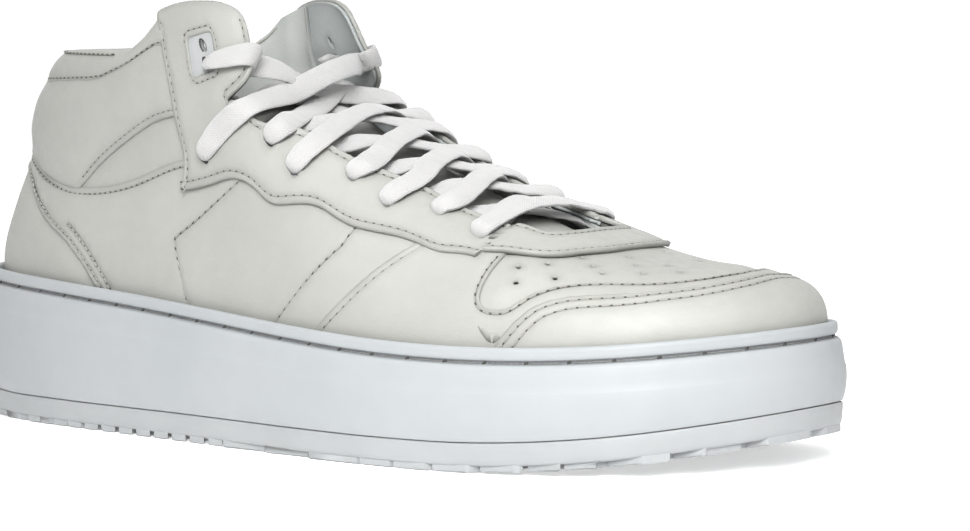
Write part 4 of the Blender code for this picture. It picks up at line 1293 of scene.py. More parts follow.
def make_collar():
    """Padded collar panels, and the darker wedges under them."""
    binding = steps(BINDING_SEAM)
    low_seam = steps(COLLAR_SEAM)
    for name, side in SIDES.items():
        low = curved(on_wall([(-144.0, 86.4)] + [(x, z - 0.6) for x, z in COLLAR_SEAM if -143 < x < -98]
                             + [(-97, 73.8)], side), 0.8)
        slant = curved(on_wall([(-97, 73.8), (-91.5, 78.2), (-86.2, 82.1), (-70.5, 90.1), (-58.3, 95.2),
                                (-49, 97.2)], side), 0.8)
        stations = (-50, -57, -66, -76, -91, -101, -112, -124, -136, -144.0)
        high = curved(on_wall([(x, float(binding(x)) + 2.2) for x in stations], side), 0.8)
        loop = chain(low, slant, straight(slant[-1], high[0]), high, straight(high[-1], low[0]))
        drawing = Drawing(wall_chart, loop, spacing=1.8)
        sew_flat("collar", drawing, beside(slant, 1.9, loop)[5:], 0.55, 0.4, 0.7, pitch=2.4, hole=1.2)

        def swell(points, to_edge):
            pad = np.sin(np.pi * np.clip((points[:, 2] - 72) / 38, 0, 1)) ** 0.7
            return (pad * 1.5 * smoothstep(to_edge, 0, 9)
                    + 0.32 * lump(points, 24, 11) * smoothstep(to_edge, 2, 12))

        made = leather_piece(name + "_collar_pad", drawing, 0.55, -1.6, edge=1.0, swell=swell, seed=7,
                             rough=0.2)
        finish_piece(made, name + "_collar_panel", name + "_collar_foam")
        stations = (-98, -88, -78, -66, -54, -44)
        low = curved(on_wall([(x, float(low_seam(x)) - 1.6) for x in stations], side), 0.8)
        high = curved(on_wall([(-44, 99), (-52, 98.4), (-62, 95.6), (-74, 91), (-86, 84.5), (-98, 75.4)],
                              side), 0.8)
        loop = chain(low, straight(low[-1], high[0]), high, straight(high[-1], low[0]))
        made = leather_piece(name + "_ankle_wedge", Drawing(wall_chart, loop, spacing=1.8), -0.65, -1.8,
                             edge=0.4, swell=lambda points, to_edge: 0.6 * smoothstep(to_edge, 2, 8), seed=9)
        finish_piece(made, name + "_ankle_panel")


def make_binding():
    """Binding of the collar: up from its seam, rolled over the padded edge and down inside."""
    low, top = steps(BINDING_SEAM), steps(COLLAR_TOP)
    x = np.concatenate([np.linspace(-54, -143.6, 90), np.full(12, -144.4), np.linspace(-143.6, -54, 90)])
    a = np.concatenate([a_at(x[:90], -1), np.linspace(a_at(-143.6, -1), a_at(-143.6, 1), 14)[1:-1],
                        a_at(x[102:], 1)])
    start, rim = low(x), top(x)
    depth = (4.4 + 4.8 * (1 - smoothstep(x, -76, -52))) * (1 - 0.75 * smoothstep(x, -62, -54))
    rows = []
    for share in np.linspace(0, 1, 11):
        puff = 0.8 + 0.65 * np.sin(np.pi * share) ** 0.8
        rows.append((puff - 0.35 * np.exp(-((share - 0.12) / 0.07) ** 2), start + (rim - 2.6 - start) * share))
    for angle in np.radians(np.arange(14, 170, 17)):
        radius = 0.5 * depth + 1.2
        rows.append((0.75 - radius * (1 - np.cos(angle)), rim - 2.6 + 2.8 * np.sin(angle) ** 0.75))
    rows += [(-depth - 0.9, rim - 2.6), (-depth + 0.1, rim - 3.2), (-0.55 * depth, rim - 3.5),
             (-1.5, rim - 3.6), (-1.5, start - 0.4)]
    loops = np.array([upper(a, level(a, z), out) for out, z in rows])
    loops += (0.2 * lump(loops.reshape(-1, 3), 13, 12)).reshape(loops.shape[:2])[..., None] * [0.5, 0.5, 0.9]
    count, columns = loops.shape[:2]
    points = loops.transpose(1, 0, 2).reshape(-1, 3)
    faces = [(i * count + j, (i + 1) * count + j, (i + 1) * count + (j + 1) % count,
              i * count + (j + 1) % count) for i in range(columns - 1) for j in range(count)]
    faces += [tuple(range(count)), tuple(range((columns - 1) * count, columns * count))]
    # seam: painted shade, strongest in the rows next to the binding's seam
    seam = np.tile(np.exp(-np.arange(count) / 1.2), columns)
    made = make_mesh("collar_binding_roll", points, faces, angle=0.9, fields={"seam": seam})
    orient(made)
    finish_piece(made, "collar_binding")
    for share, out, kept in ((0.1, 0.82, x < 0), (0.96, 1.0, x < -86)):
        z = start + (rim - 1.6 - start) * share
        t = level(a, z)[kept]
        sew("collar", upper(a[kept], t, out), normal_at(a[kept], t), pitch=2.6, hole=1.5)


def throat_plan(x, y):
    """Point of the throat drawing at this plan position."""
    a, t = plan_chart(np.array([[x, y]], float))
    whole = g_of(a, np.ones_like(a))
    return np.array([x, float((np.sign(a) * (whole - g_of(a, t)))[0])])


def on_throat(points, side):
    """Throat drawing's points at these (x, z)."""
    return np.array([throat_point(x, z, side) for x, z in points])


def stay_border(side):
    """Lines of one arm of the eyestay in the throat drawing: low edge, forward from the flap; flap; throat
    edge."""
    low = on_throat(STAY_LOW, side)
    front = np.array([throat_plan(x, y) for x, y in STAY_FRONT]) * (1, -side)
    throat = np.array([throat_plan(x, y) for x, y in THROAT_FRONT]) * (1, -side)
    low = curved(np.vstack([low, front]), 0.8)
    flap = chain(curved(on_throat(FLAP_BACK, side), 0.8), curved(on_throat(FLAP_TOP, side), 0.8),
                 curved(on_throat(FLAP_FRONT, side), 0.8))
    inner = curved(np.vstack([on_throat(THROAT_EDGE, side), throat]), 0.8)
    return low, flap, inner


def round_hole(centre, radius, count=22):
    """Circle in a drawing."""
    turn = np.arange(count) * 2 * np.pi / count
    return np.asarray(centre) + radius * np.column_stack([np.cos(turn), np.sin(turn)])


def stay_lift(uv):
    """The eyestay climbs over the edge of the toe box's opening."""
    return 0.5 * smoothstep(uv[:, 0], 62, 74)


def make_eyestay():
    """Eyestay with both ankle flaps, its eyelets and its stitches."""
    arms = {side: stay_border(side) for side in (-1, 1)}
    loop = []
    for side in (-1, 1):
        low, flap, inner = arms[side]
        loop.append(chain(low[::-1], flap, inner))          # back from the front tip, up the flap, and forward
    outer = chain(loop[0], loop[1][::-1])
    outer = softened(even(outer, 0.8, True), 3)
    holes = []
    for side in (-1, 1):
        holes += [round_hole(throat_point(x, z + 0.6, side), 2.0) for x, z in EYELETS]
        window = even(on_throat(PLATE_WINDOW, side), 0.8, True)
        holes.append(softened(window, 5))
    drawing = Drawing(throat_chart, outer, spacing=1.8, holes=holes)
    line = shifted(drawing.loop, 1.7, True)
    line = np.roll(line, -int(np.argmax(line[:, 0])), 0)
    line = softened(line, 2)
    height = upper(*throat_chart(line))[:, 2]
    for run in np.split(line, np.flatnonzero(np.diff((height > FLAP_UNSEWN).astype(int))) + 1):
        if upper(*throat_chart(run[len(run) // 2][None]))[0, 2] < FLAP_UNSEWN:
            sew_flat("eyestay", drawing, run, lambda uv: STAY_TOP + stay_lift(uv), 0.42, 0.75, pitch=2.7,
                     hole=1.0)
    for window in (holes[7], holes[15]):
        line = even(shifted(window, -1.4 if area_of(window) > 0 else 1.4, True), 0.8, True)
        sew_flat("eyestay", drawing, np.vstack([line, line[:1]]), STAY_TOP, 0.35, 0.55, pitch=2.1, hole=0.95)

    def swell(points, to_edge):
        base = smoothstep(points[:, 2], 92, 104) * (1 - smoothstep(points[:, 2], 104, 120))
        return (0.3 * lump(points, 30, 5) * smoothstep(to_edge, 1, 10)
                + 0.35 * base * lump(points, 11, 17) * smoothstep(to_edge, 3, 8)
                + 0.22 * np.exp(-((to_edge - 0.9) / 0.7) ** 2))

    made = leather_piece("eyestay_cut", drawing, STAY_TOP, 0.05, edge=0.65, swell=swell, lay=stay_lift,
                         seed=3)
    finish_piece(made, "eyestay")


def make_stay_linings():
    """Leather behind the flaps and the eyelets, and the plates seen through the windows of the flaps."""
    for name, side in SIDES.items():
        _, flap, inner = stay_border(side)
        under = curved(on_throat([(-44.6, 82.4), (-36, 84.4), (-20, 85), (0, 78.5), (20, 74.5), (40, 69.5),
                                  (58, 66.8), (66, 66.6)], side), 0.9)
        throat = inner[inner[:, 0] < 69]
        back = flap[(flap[:, 0] > -60) & (np.arange(len(flap)) > 9)]
        loop = chain(under[::-1], back, throat)
        loop = even(loop, 0.8, True)
        inward = 0.45 if area_of(loop) > 0 else -0.45
        loop = softened(shifted(loop, inward, True), 2)
        holes = [round_hole(throat_point(x, z, side), 2.4) for x, z in EYELETS]
        holes = [h for h in holes if inside(h, loop).all()]
        holes += [round_hole(throat_point(x, z, side), 1.25) for x, z in PATCH_EYELETS]
        drawing = Drawing(throat_chart, loop, spacing=2.0, holes=holes)
        made = leather_piece(name + "_flap_lining", drawing, 0.0, -1.1, edge=0.3, seed=15, rough=0.12)
        finish_piece(made, name + "_eyestay_lining", slot="lining_textile", look=SMOOTH_LINING)
        quad = on_throat(PLATE_WINDOW, side)
        quad = quad.mean(0) + (quad - quad.mean(0)) * 1.16
        plate = softened(even(quad, 0.8, True), 5)
        drawing = Drawing(throat_chart, plate, spacing=1.0,
                          holes=[round_hole(throat_point(x, z, side), 1.35) for x, z in PATCH_EYELETS])
        for x, z in PATCH_EYELETS:
            ring = round_hole(throat_point(x, z, side), 1.5, 25)
            a, t = throat_chart(np.vstack([ring, ring[:1]]))
            # ring of dark beads round each patch eyelet: painted shade of the needle holes
            beads("hole_shade", upper(a, t, 0.7), normal_at(a, t), np.arange(12) * 0.79 + 0.3, 0.85, 0.27)
        made = leather_piece(name + "_eyelet_plate", drawing, 0.95, 0.02, edge=0.35, seed=19, rough=0.05)
        finish_piece(made, name + "_eyelet_patch", slot="trim_plastic", look=PLASTIC)


# ---- lace --------------------------------------------------------------------------------------------------
LACE_WIDE, LACE_THICK = 3.75, 0.95          # half sizes
OVER, UNDER = STAY_TOP + 1.25, -2.5
EDGE_HEIGHT = steps([(-40, 106)] + THROAT_EDGE[1:] + [(76, 64.8), (85, 63)])


def unit(v):
    """Vector of length 1."""
    return np.asarray(v, float) / np.linalg.norm(v)


def at_surface(x, z, side, out):
    """Point this far out from the upper at this x and height."""
    a = a_at(x, side)
    return upper(a, level(a, z), out)


def surface_normal(x, z, side):
    """Outward direction of the upper at this x and height."""
    a = a_at(x, side)
    return normal_at(a, level(a, z))


def middle_normal(x):
    """Upward direction square to the throat's edges."""
    return unit((-(EDGE_HEIGHT(x + 4) - EDGE_HEIGHT(x - 4)) / 8, 0, 1))


class Route:
    """Line of a flat cord.  Each row is a place, the direction of its width, half width, half thickness, and
    how far its two edges curl."""

    def __init__(self):
        self.rows = []

    def add(self, place, across, wide=LACE_WIDE, thick=LACE_THICK, curl=(0, 0, 0)):
        """One more row, its width turned the same way as the last one's."""
        across = unit(across)
        if self.rows and np.dot(across, self.rows[-1][3:6]) < 0:
            across = -across
        self.rows.append(np.concatenate([place, across, [wide, thick], curl]))

    def into_eyelet(self, x, z, side, heading, leaving=True, reach=2.4):
        """Up through an eyelet from inside and over towards heading, or the same turned round."""
        hole, normal = at_surface(x, z, side, 0), surface_normal(x, z, side)
        heading = heading - hole
        heading = unit(heading - np.dot(heading, normal) * normal)
        across = np.cross(normal, heading)
        made = [(hole - 2.6 * normal + 0.2 * heading, 1.8, 1.2, 0),
                (hole + 0.4 * normal + 0.4 * heading, 1.8, 1.3, 0),
                (hole + (STAY_TOP + 1.2) * normal + 0.9 * heading, 3.2, 1.35, 0.5),
                (hole + (STAY_TOP + 2.15) * normal + (0.8 + reach) * heading, 3.85, 1.2, 1.3),
                (hole + (STAY_TOP + 1.7) * normal + (3.8 + reach) * heading, 3.95, 1.05, 0.7)]
        for place, wide, thick, curl in (made if leaving else made[::-1]):
            self.add(place, across, wide, thick, -curl * normal)

    def from_below(self, x, z, side, origin):
        """Under the edge of the eyestay, on the way to or from the underside of an eyelet."""
        hole, normal = at_surface(x, z, side, 0), surface_normal(x, z, side)
        away = origin - hole
        away = unit(away - np.dot(away, normal) * normal)
        self.add(hole - 3.4 * normal + 2.6 * away, np.cross(normal, away), 3.4, 1.1)


def throat_line():
    """x and y along the throat's edges."""
    x = np.linspace(-27, 77, 60)
    return x, {side: np.array([at_surface(v, float(EDGE_HEIGHT(v)), side, 0)[1] for v in x])
               for side in SIDES.values()}


THROAT_X, THROAT_Y = throat_line()


def crossing(start, end):
    """x where a straight run, seen from above, passes the throat's edge near its start."""
    share = np.linspace(0, 0.5, 200)
    x = start[0] + (end[0] - start[0]) * share
    y = start[1] + (end[1] - start[1]) * share
    side = -1 if start[1] < 0 else 1
    edge = np.interp(x, THROAT_X, THROAT_Y[side])
    clear = np.abs(y) < np.abs(edge)
    return float(x[np.argmax(clear)]) if clear.any() else float(x[-1])


# Height of a strap over the throat's edges, against its place between the two edges, -1 where it starts.
HIGH_STRAP = [(-0.55, 4.0), (-0.27, 4.9), (0, 5.2), (0.27, 4.9), (0.55, 3.2), (0.78, 0.4)]
LOW_STRAP = [(-0.78, 2.6), (-0.55, 2.3), (-0.27, 2.6), (0, 2.9), (0.27, 2.5), (0.55, 1.3), (0.78, -0.7)]
FIRST_HIGH = [(-0.7, -0.6), (-0.35, 1.9), (0, 2.6), (0.35, 1.9), (0.7, -0.6)]
FIRST_LOW = [(-0.7, -1.0), (-0.35, 0.0), (0, 0.5), (0.35, 0.0), (0.7, -1.0)]
FRONT_BAR = [(-0.7, 3.9), (-0.35, 4.9), (0, 5.2)]


def front_bar(route, side):
    """From the middle of the front bar down into the front eyelet on this side."""
    x, z = EYELETS[6]
    for share, height in FRONT_BAR[::-1]:
        edge = np.interp(x - 0.5, THROAT_X, THROAT_Y[side])
        route.add((x - 0.5, -share * edge, float(EDGE_HEIGHT(x)) + height), (1, 0, -0.35))
    over = at_surface(x - 0.5, float(EDGE_HEIGHT(x)), side, OVER)
    route.into_eyelet(x, z, side, over, leaving=False, reach=1.2)


def strap(route, row, side):
    """Up from the eyelet of this row and across to under the next eyelet of the other side.  The first strap
    rises from under the edge instead."""
    (x, z), (next_x, next_z) = EYELETS[row], EYELETS[row - 1]
    first = row == 6
    start, end = at_surface(x, z, side, 0), at_surface(next_x, next_z, -side, 0)
    leave_x, arrive_x = crossing(start, end) + (0 if first else 4.5), crossing(end, start)
    leave_z, arrive_z = float(EDGE_HEIGHT(leave_x)), float(EDGE_HEIGHT(arrive_x))
    leave = at_surface(leave_x, leave_z, side, UNDER if first else OVER)
    arrive = at_surface(arrive_x, arrive_z, -side, UNDER)
    if first:
        route.from_below(x, z, side, leave)
        profile = FIRST_HIGH if side < 0 else FIRST_LOW
    else:
        route.into_eyelet(x, z, side, leave)
        profile = HIGH_STRAP if side < 0 else LOW_STRAP
    along = arrive - leave
    if first or np.linalg.norm(leave - start) > 9:
        normal = unit(surface_normal(leave_x, leave_z, side) + middle_normal(leave_x))
        route.add(leave, np.cross(normal, along))
    sag = 2.9 if row == 1 else 0.0
    for share, height in profile:
        px = leave_x + (arrive_x - leave_x) * (0.5 + 0.5 * share)
        edge = np.interp(px, THROAT_X, THROAT_Y[-side if share > 0 else side])
        place = (px, abs(share) * edge, height - sag * (1 - share**2) + float(EDGE_HEIGHT(px)))
        route.add(place, np.cross(middle_normal(px), along))
    normal = unit(surface_normal(arrive_x, arrive_z, -side) + middle_normal(arrive_x))
    route.add(arrive, np.cross(normal, along))
    route.from_below(next_x, next_z, -side, arrive)


# Places over the throat of the last strap, and the height where it folds round the edge of the far ankle flap.
LAST_STRAP = {-1: ([(-18.6, -20, 103.7), (-18.2, -6, 107.9), (-19.3, 9, 111.3)], 113.2),
              1: ([(-21.0, 18, 101.8), (-22.0, 4, 103.4), (-22.4, -9, 106.6), (-22.2, -20, 110.7)], 114.6)}


def last_strap(route, side):
    """Up from the rear eyelet of this side, across, round the far ankle flap's edge and into its eyelet."""
    places, fold = LAST_STRAP[side]
    x, z = EYELETS[0]
    edge_x, edge_z = -19.6, 99.2
    over = at_surface(edge_x, edge_z, side, OVER)
    route.into_eyelet(x, z, side, at_surface(-28, 92.8, side, 0))
    hold = at_surface(-27.0, 93.4, side, OVER)
    route.add(hold, np.cross(surface_normal(-27.0, 93.4, side), over - hold), 4.3, 0.95)
    normal = unit(surface_normal(edge_x, edge_z, side) + middle_normal(-22))
    route.add(over, np.cross(normal, (-0.1, -side, 0.35)))
    for place in places:
        route.add(place, (-0.6, 0, 0.8))
    far = -side
    x, z = PATCH_EYELETS[1]
    upright = at_surface(-22.8, fold + 2, far, 0) - at_surface(-23.6, fold - 2, far, 0)
    for px, pz, out, wide, thick in ((-23.5, fold - 0.6, -2.8, 3.7, LACE_THICK),
                                     (-21.9, fold - 0.2, -1.3, 3.6, LACE_THICK),
                                     (-21.3, fold, 0.8, 3.6, LACE_THICK),
                                     (-22.6, fold, OVER + 0.3, 3.6, LACE_THICK),
                                     (-26.0, fold - 0.3, OVER + 0.5, 3.5, 1.0),
                                     (-30.0, fold - 0.9, OVER + 0.7, 3.2, 1.15),
                                     (-33.4, 113.0, OVER + 0.9, 2.7, 1.3),
                                     (-35.4, 112.8, STAY_TOP + 0.7, 2.1, 1.3),
                                     (x, z, -0.4, 1.6, 1.2), (x, z, -2.6, 1.6, 1.2)):
        route.add(at_surface(px, pz, far, out), upright, wide, thick)


def lace_half(side):
    """From the middle of the front bar, down an eyelet, and across from row to row to the far ankle flap."""
    route = Route()
    front_bar(route, side)
    for row in range(6, 0, -1):
        strap(route, row, side)
        side = -side
    last_strap(route, side)
    return route.rows


CORD_STEP, CORD_SIDES = 0.85, 20


def tube_faces(rings, sides):
    """Faces of a tube with closed ends."""
    faces = [(i * sides + j, i * sides + (j + 1) % sides, (i + 1) * sides + (j + 1) % sides,
              (i + 1) * sides + j) for i in range(rings - 1) for j in range(sides)]
    return faces + [tuple(range(sides))[::-1], tuple(range((rings - 1) * sides, rings * sides))]


def flat_cord(name, rows):
    """Sweeps a flat woven section along a route, with its own directions kept for the weave."""
    sides = CORD_SIDES
    rows = np.array(rows)
    along = np.concatenate([[0], np.cumsum(np.linalg.norm(np.diff(rows[:, :3], axis=0), axis=1) ** 0.5)])
    fine = np.linspace(0, along[-1], 30 * len(rows))
    line = np.column_stack([spline(np.column_stack([along, rows[:, k]]))(fine) for k in range(3)])
    rest = np.column_stack([np.interp(fine, along, rows[:, k]) for k in range(3, rows.shape[1])])
    run = lengths_along(line)
    at = np.linspace(0, run[-1], int(run[-1] / CORD_STEP) + 1)
    line = np.column_stack([np.interp(at, run, line[:, k]) for k in range(3)])
    rest = np.column_stack([np.interp(at, run, rest[:, k]) for k in range(rest.shape[1])])
    for _ in range(3):
        rest[1:-1] = 0.25 * rest[:-2] + 0.5 * rest[1:-1] + 0.25 * rest[2:]
    tangent = np.gradient(line, axis=0)
    tangent /= np.linalg.norm(tangent, axis=1)[:, None]
    across = rest[:, :3] - (rest[:, :3] * tangent).sum(1)[:, None] * tangent
    across /= np.linalg.norm(across, axis=1)[:, None]
    up = np.cross(tangent, across)
    wide, thick, curl = rest[:, 3], rest[:, 4], rest[:, 5:8]
    knots = np.arange(0, at[-1] + 14, 7)
    wave = np.interp(at, knots, np.random.default_rng(4).normal(size=int(at[-1] / 7) + 3)[:len(knots)])
    turn = np.arange(sides) * 2 * np.pi / sides
    flat_x = np.sign(np.cos(turn)) * np.abs(np.cos(turn)) ** 0.72
    flat_y = np.sign(np.sin(turn)) * np.abs(np.sin(turn)) ** 0.8
    wide = wide * (1 + 0.02 * wave)
    points = (line[:, None] + wide[:, None, None] * flat_x[None, :, None] * across[:, None]
              + thick[:, None, None] * (flat_y * (1 - 0.25 * flat_x**2))[None, :, None] * up[:, None]
              + curl[:, None] * (flat_x**2)[None, :, None])
    flat = points.reshape(-1, 3)
    raised = np.repeat(up, sides, axis=0)
    edge_lift = (0.28 * lump(flat, 15, 44) * np.tile(flat_x**2, len(line)))[:, None] * raised
    flat = flat + edge_lift + 0.1 * lump(flat, 4, 45)[:, None] * raised
    faces = tube_faces(len(line), sides)
    made = make_mesh(name, flat, faces)
    orient(made)
    around = np.concatenate([[0], np.cumsum(np.hypot(np.diff(np.append(flat_x, flat_x[0])) * LACE_WIDE,
                                                     np.diff(np.append(flat_y, flat_y[0])) * LACE_THICK))])
    uv = made.data.uv_layers.new(name="cloth")
    for loop in made.data.loops:
        uv.data[loop.index].uv = (at[loop.vertex_index // sides], around[loop.vertex_index % sides])
    dress(made, LACE_COTTON)
    return made, line


TAIL_SIZES = [(1.6, 1.2), (2.4, 1.2), (3.1, 1.05), (3.4, 0.95), (3.4, 0.9), (3.4, 0.9), (3.2, 1.0), (1.3, 1.2)]


def make_lace():
    """The lace from flap to flap, and its two free ends, tucked inside behind the flaps."""
    halves = [lace_half(side) for side in (-1, 1)]
    whole = Route()
    for row in halves[0][::-1] + halves[1][1:]:
        whole.add(row[:3], row[3:6], row[6], row[7], row[8:11])
    made, _ = flat_cord("lace_straps", whole.rows)
    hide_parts("lace")
    for name, side in SIDES.items():
        x, z = PATCH_EYELETS[1]
        hole, normal = at_surface(x, z, side, 0), surface_normal(x, z, side)
        upright = at_surface(x + 1.5, z + 4, side, 0) - at_surface(x - 1.5, z - 4, side, 0)
        places = [hole - 1.9 * normal, hole - 4.4 * normal, hole - 6.9 * normal, (-40, side * 27.5, 108),
                  (-42.5, side * 26.5, 98), (-44, side * 26, 84), (-44.5, side * 26, 76),
                  (-44.5, side * 26, 70)]
        tail = Route()
        for i, (place, (wide, thick)) in enumerate(zip(places, TAIL_SIZES)):
            tail.add(place, upright if i < 3 else (1, 0, 0.35 if i == 3 else 0), wide, thick)
        made, line = flat_cord(name + "_lace_end", tail.rows)
        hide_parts(name + "_lace_tail")
        tip = make_aglet(name, line[-1])


def make_aglet(name, top):
    """Clear tip rolled round the end of the lace."""
    turn = np.arange(16) * np.pi / 8
    rings = [(1.35, 0.6), (1.5, 0.3), (1.5, -1.0), (1.44, -2.2), (1.5, -3.2), (1.5, -17.5), (1.4, -19.2),
             (1.1, -20.0)]
    points = [(top[0] + r * np.cos(g), top[1] + r * np.sin(g), top[2] + z) for r, z in rings for g in turn]
    made = make_mesh(name + "_lace_tip", points, tube_faces(len(rings), 16), angle=0.8)
    orient(made)
    dress(made, CLEAR_TIP)
    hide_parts(name + "_aglet")
    return made


# ---- tongue, linings and footbed ---------------------------------------------------------------------------
# x, height, half width and drop of its edges, forward to back.
TONGUE = [(76, 60.5, 12, 2), (66, 62.2, 17, 4.5), (54, 66, 22, 7.5), (40, 70.5, 26, 10), (26, 75.5, 28, 11.5),
          (12, 81, 29.5, 13), (-2, 88.5, 30, 14), (-14, 95.5, 28.5, 14), (-25, 102, 26, 13),
          (-35, 107.5, 24, 11)]


TONGUE_ROWS, TONGUE_COLUMNS = 66, 33


def grid_solid(name, outer, inner, body="shoe", seam=None):
    """Solid between two grids of points with the same rows and columns."""
    rows, columns = outer.shape[:2]
    index = np.arange(rows * columns).reshape(rows, columns)
    quads = np.dstack([index[:-1, :-1], index[1:, :-1], index[1:, 1:], index[:-1, 1:]]).reshape(-1, 4)
    edge = np.concatenate([index[0], index[1:, -1], index[-1, -2::-1], index[-2:0:-1, 0]])
    count = rows * columns
    faces = [tuple(q) for q in quads] + [tuple(q[::-1] + count) for q in quads]
    faces += [(edge[i - 1], edge[i], edge[i] + count, edge[i - 1] + count) for i in range(len(edge))]
    points = np.vstack([outer.reshape(-1, 3), inner.reshape(-1, 3)])
    made = make_mesh(name, points, faces, body, angle=1.0,
                     fields={"seam": np.zeros(2 * count) if seam is None else np.tile(seam.ravel(), 2)})
    orient(made)
    return made


def make_tongue():
    """Face, foam and backing of the tongue, one on the other along its own down direction."""
    stations = np.array(TONGUE[::-1], float)
    x = np.linspace(-36.5, 76, TONGUE_ROWS)
    middle, half, drop = (spline(stations[:, [0, k]])(x) for k in (1, 2, 3))
    slope = np.gradient(middle, x)
    across = (np.sin(np.linspace(-np.pi / 2, np.pi / 2, TONGUE_COLUMNS)) * 0.55
              + np.linspace(-1, 1, TONGUE_COLUMNS) * 0.45)
    centre = SIDEWAYS(x)
    middle = middle + 1.6 * smoothstep(x, -10, 6) * (1 - smoothstep(x, 62, 76))
    top = np.dstack([np.repeat(x[:, None], TONGUE_COLUMNS, 1), centre[:, None] + half[:, None] * across,
                     middle[:, None] - drop[:, None] * np.abs(across) ** 3])
    shape = (TONGUE_ROWS, TONGUE_COLUMNS)
    down = np.dstack([np.broadcast_to(slope[:, None], shape),
                      -3 * (drop / half)[:, None] * across * np.abs(across), -np.ones(shape)])
    down /= np.linalg.norm(down, axis=2)[..., None]
    thin = np.interp(x, [-5, 76], [1.0, 0.7])[:, None, None]
    flat = top.reshape(-1, 3)
    to_edge = np.minimum(half[:, None] * (1 - np.abs(across)), np.minimum(x + 36.5, 400)[:, None])
    round_off = np.sqrt(1 - np.clip(1 - to_edge / 3.5, 0, 1) ** 2)
    pad = (0.35 * lump(flat, 22, 61)).reshape(shape)
    rolled = (1 - round_off) * 2.6
    layers = [("face_leather", "tongue_face", rolled - pad * round_off, rolled + 1.4 - 0.1 * round_off,
               LEATHER, "upper_leather"),
              ("foam_pad", "tongue_foam", rolled * 0.9 + 1.5, 6.0 - rolled * 0.9, FOAM, "padding_foam"),
              ("backing_cloth", "tongue_lining", 6.1 - rolled * 0.8, 7.2 - rolled + 0.25 * pad, LINING,
               "lining_textile")]
    for name, node, high, low, look, slot in layers:
        high = np.broadcast_to(high, shape)[..., None]
        low = np.broadcast_to(low, shape)[..., None]
        # seam: painted shade along the tongue's edges, darkening its leather face
        made = grid_solid("tongue_" + name, top + down * high * thin, top + down * low * thin, "tongue",
                          seam=np.exp(-to_edge / 1.5))
        dress(made, look)
        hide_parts(node)


def make_linings():
    """Smooth lining of the quarters and of the padded collar up to the flaps."""
    rim = steps(COLLAR_TOP)
    front = steps([(-48.6, 130.0), (-47.4, 104), (-46, 92), (-40, 86), (-20, 86), (0, 80), (20, 76),
                   (40, 70.5), (60, 67.5), (74, 65)])
    for name, side in SIDES.items():
        x = np.concatenate([[-143.8], np.linspace(-143, -50, 72), np.linspace(-49.4, -45.5, 9),
                            np.linspace(-43.5, 74, 56)])
        a = a_at(x, side)
        a[0] = side * 0.0012
        collar = x < -48.4
        high = np.where(collar, np.minimum(rim(x) - 0.3 + 0.8 * smoothstep(x, -58, -50), 130.0), front(x))
        share = np.sin(np.linspace(0, np.pi / 2, 32)) ** 1.1
        t_low = np.full(len(x), -0.12)
        t_high = level(a, high)
        t = t_low[:, None] + (t_high - t_low)[:, None] * share
        points = upper(a[:, None], t)
        z = points[..., 2]
        padded = (1 - smoothstep(x, -72, -50))[:, None]
        depth = 4.4 + 4.8 * padded * smoothstep(z, 68, 82)
        below = high[:, None] - z
        depth = np.where(collar[:, None], depth - 1.6 * padded * (1 - smoothstep(below, -0.5, 5)),
                         1.3 + (depth - 1.3) * smoothstep(below, -0.5, 9))
        depth = depth + (1.35 - depth) * smoothstep(x, -57, -48.5)[:, None] * smoothstep(z, 92, 104)
        bulge = np.clip(np.sin(np.pi * np.clip((z - 78) / 44, 0, 1)), 0, 1)
        puff = padded * smoothstep(z, 80, 92) * 1.1 * bulge
        ripple = (0.3 * lump(points.reshape(-1, 3), 19, 71)).reshape(z.shape) * smoothstep(z, 50, 70)
        outer = upper(a[:, None], t, -depth)
        inner = upper(a[:, None], t, -depth - 1.2 - puff + ripple)
        made = grid_solid(name + "_inner_lining", outer, inner)
        finish_piece(made, name + "_quarter_lining", slot="lining_textile", look=COLLAR_LINING)


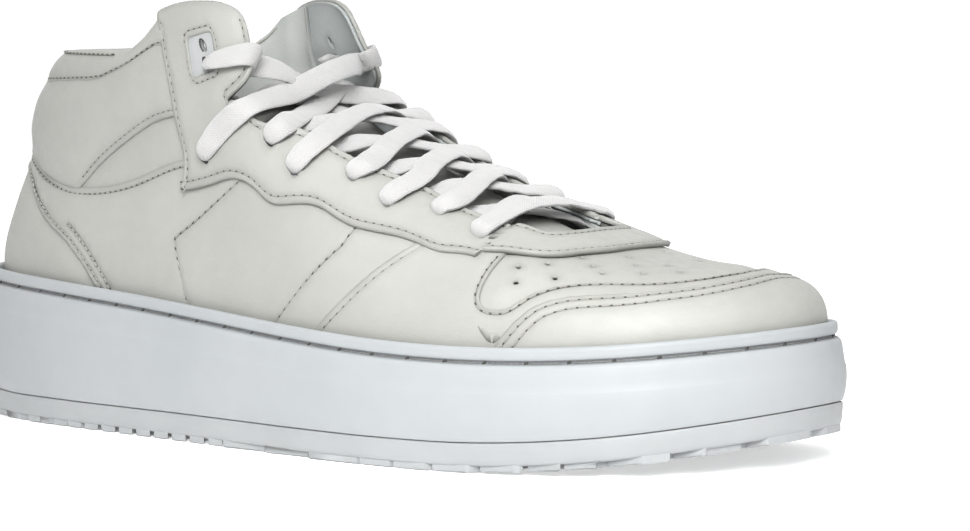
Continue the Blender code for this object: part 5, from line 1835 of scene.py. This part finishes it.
def make_toe_lining():
    """Cloth lining of the toe: arches from the lateral side over to the medial one."""
    x = np.concatenate([np.linspace(74.5, 140, 40), [144, 147.5, 149.5]])
    share = np.linspace(0, 1, 26)
    rows = []
    for v in x:
        arch = []
        for side, order in ((-1, share), (1, share[-2::-1])):
            a = np.full(len(order), float(a_at(min(v, 144.3), side)))
            if v > 144.3:
                a = np.sign(a) * (np.abs(a) + (0.9993 - np.abs(a)) * (v - 144.3) / 5.2)
            arch.append((a, -0.12 + 1.12 * np.sin(order * np.pi / 2)))
        rows.append([np.concatenate([arch[0][k], arch[1][k]]) for k in (0, 1)])
    a, t = np.array([r[0] for r in rows]), np.array([r[1] for r in rows])
    made = grid_solid("toe_lining", upper(a, t, -4.4), upper(a, t, -5.6))
    finish_piece(made, "vamp_lining", slot="lining_textile", look=LINING)


FOOTBED_INSET = 12.8


def make_footbed():
    """Footbed with a raised arch and a cupped heel."""
    x = np.concatenate([[-137.2, -136.6, -135, -132], np.linspace(-128, 128, 86), [132, 135, 137, 137.8]])
    table = {side: outline(side * np.linspace(0.0005, 0.9995, 700), FOOTBED_INSET) for side in (-1, 1)}
    left = np.interp(x, table[-1][:, 0], table[-1][:, 1])
    right = np.interp(x, table[1][:, 0], table[1][:, 1])
    y = left[:, None] + (right - left)[:, None] * np.linspace(0, 1, 37)
    wide = np.broadcast_to(x[:, None], y.shape)
    to_edge = np.minimum(y - left[:, None], right[:, None] - y)
    to_edge = np.maximum(np.minimum(to_edge, np.minimum(x + 137.4, 138 - x)[:, None]), 0)
    base = LIP(wide)
    arch = 3.0 * np.exp(-((wide + 20) / 42) ** 2) * smoothstep(y, 8, 36)
    cup = 3.2 * (1 - smoothstep(to_edge, 0, 13)) * smoothstep(-wide, 20, 90)
    rounding = 1.6 * (1 - np.sqrt(1 - np.clip(1 - to_edge / 2.4, 0, 1) ** 2))
    uneven = 0.15 * lump(np.dstack([wide, y, base]).reshape(-1, 3), 25, 81).reshape(y.shape)
    high = base - 11.8 + arch + cup - rounding + uneven
    made = grid_solid("insole_board", np.dstack([wide, y, high]), np.dstack([wide, y, base - 15.8]))
    finish_piece(made, "footbed", slot="lining_textile", look=INSOLE)


make_lace()
make_cupsole()
make_outsole()
make_quarters()
make_heel_panel()
make_vamp()
make_toe_box()
make_mudguard()
make_collar()
make_binding()
make_eyestay()
make_stay_linings()
make_tongue()
make_linings()
make_toe_lining()
make_footbed()
thread_objects()
for name, look in (("midsole_filler", FOAM), ("lasting_board", BOARD), ("toe_puff", BOARD),
                   ("heel_counter", BOARD)):          # inner CAD solids that stay as they are
    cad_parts[name].data.materials[0] = look
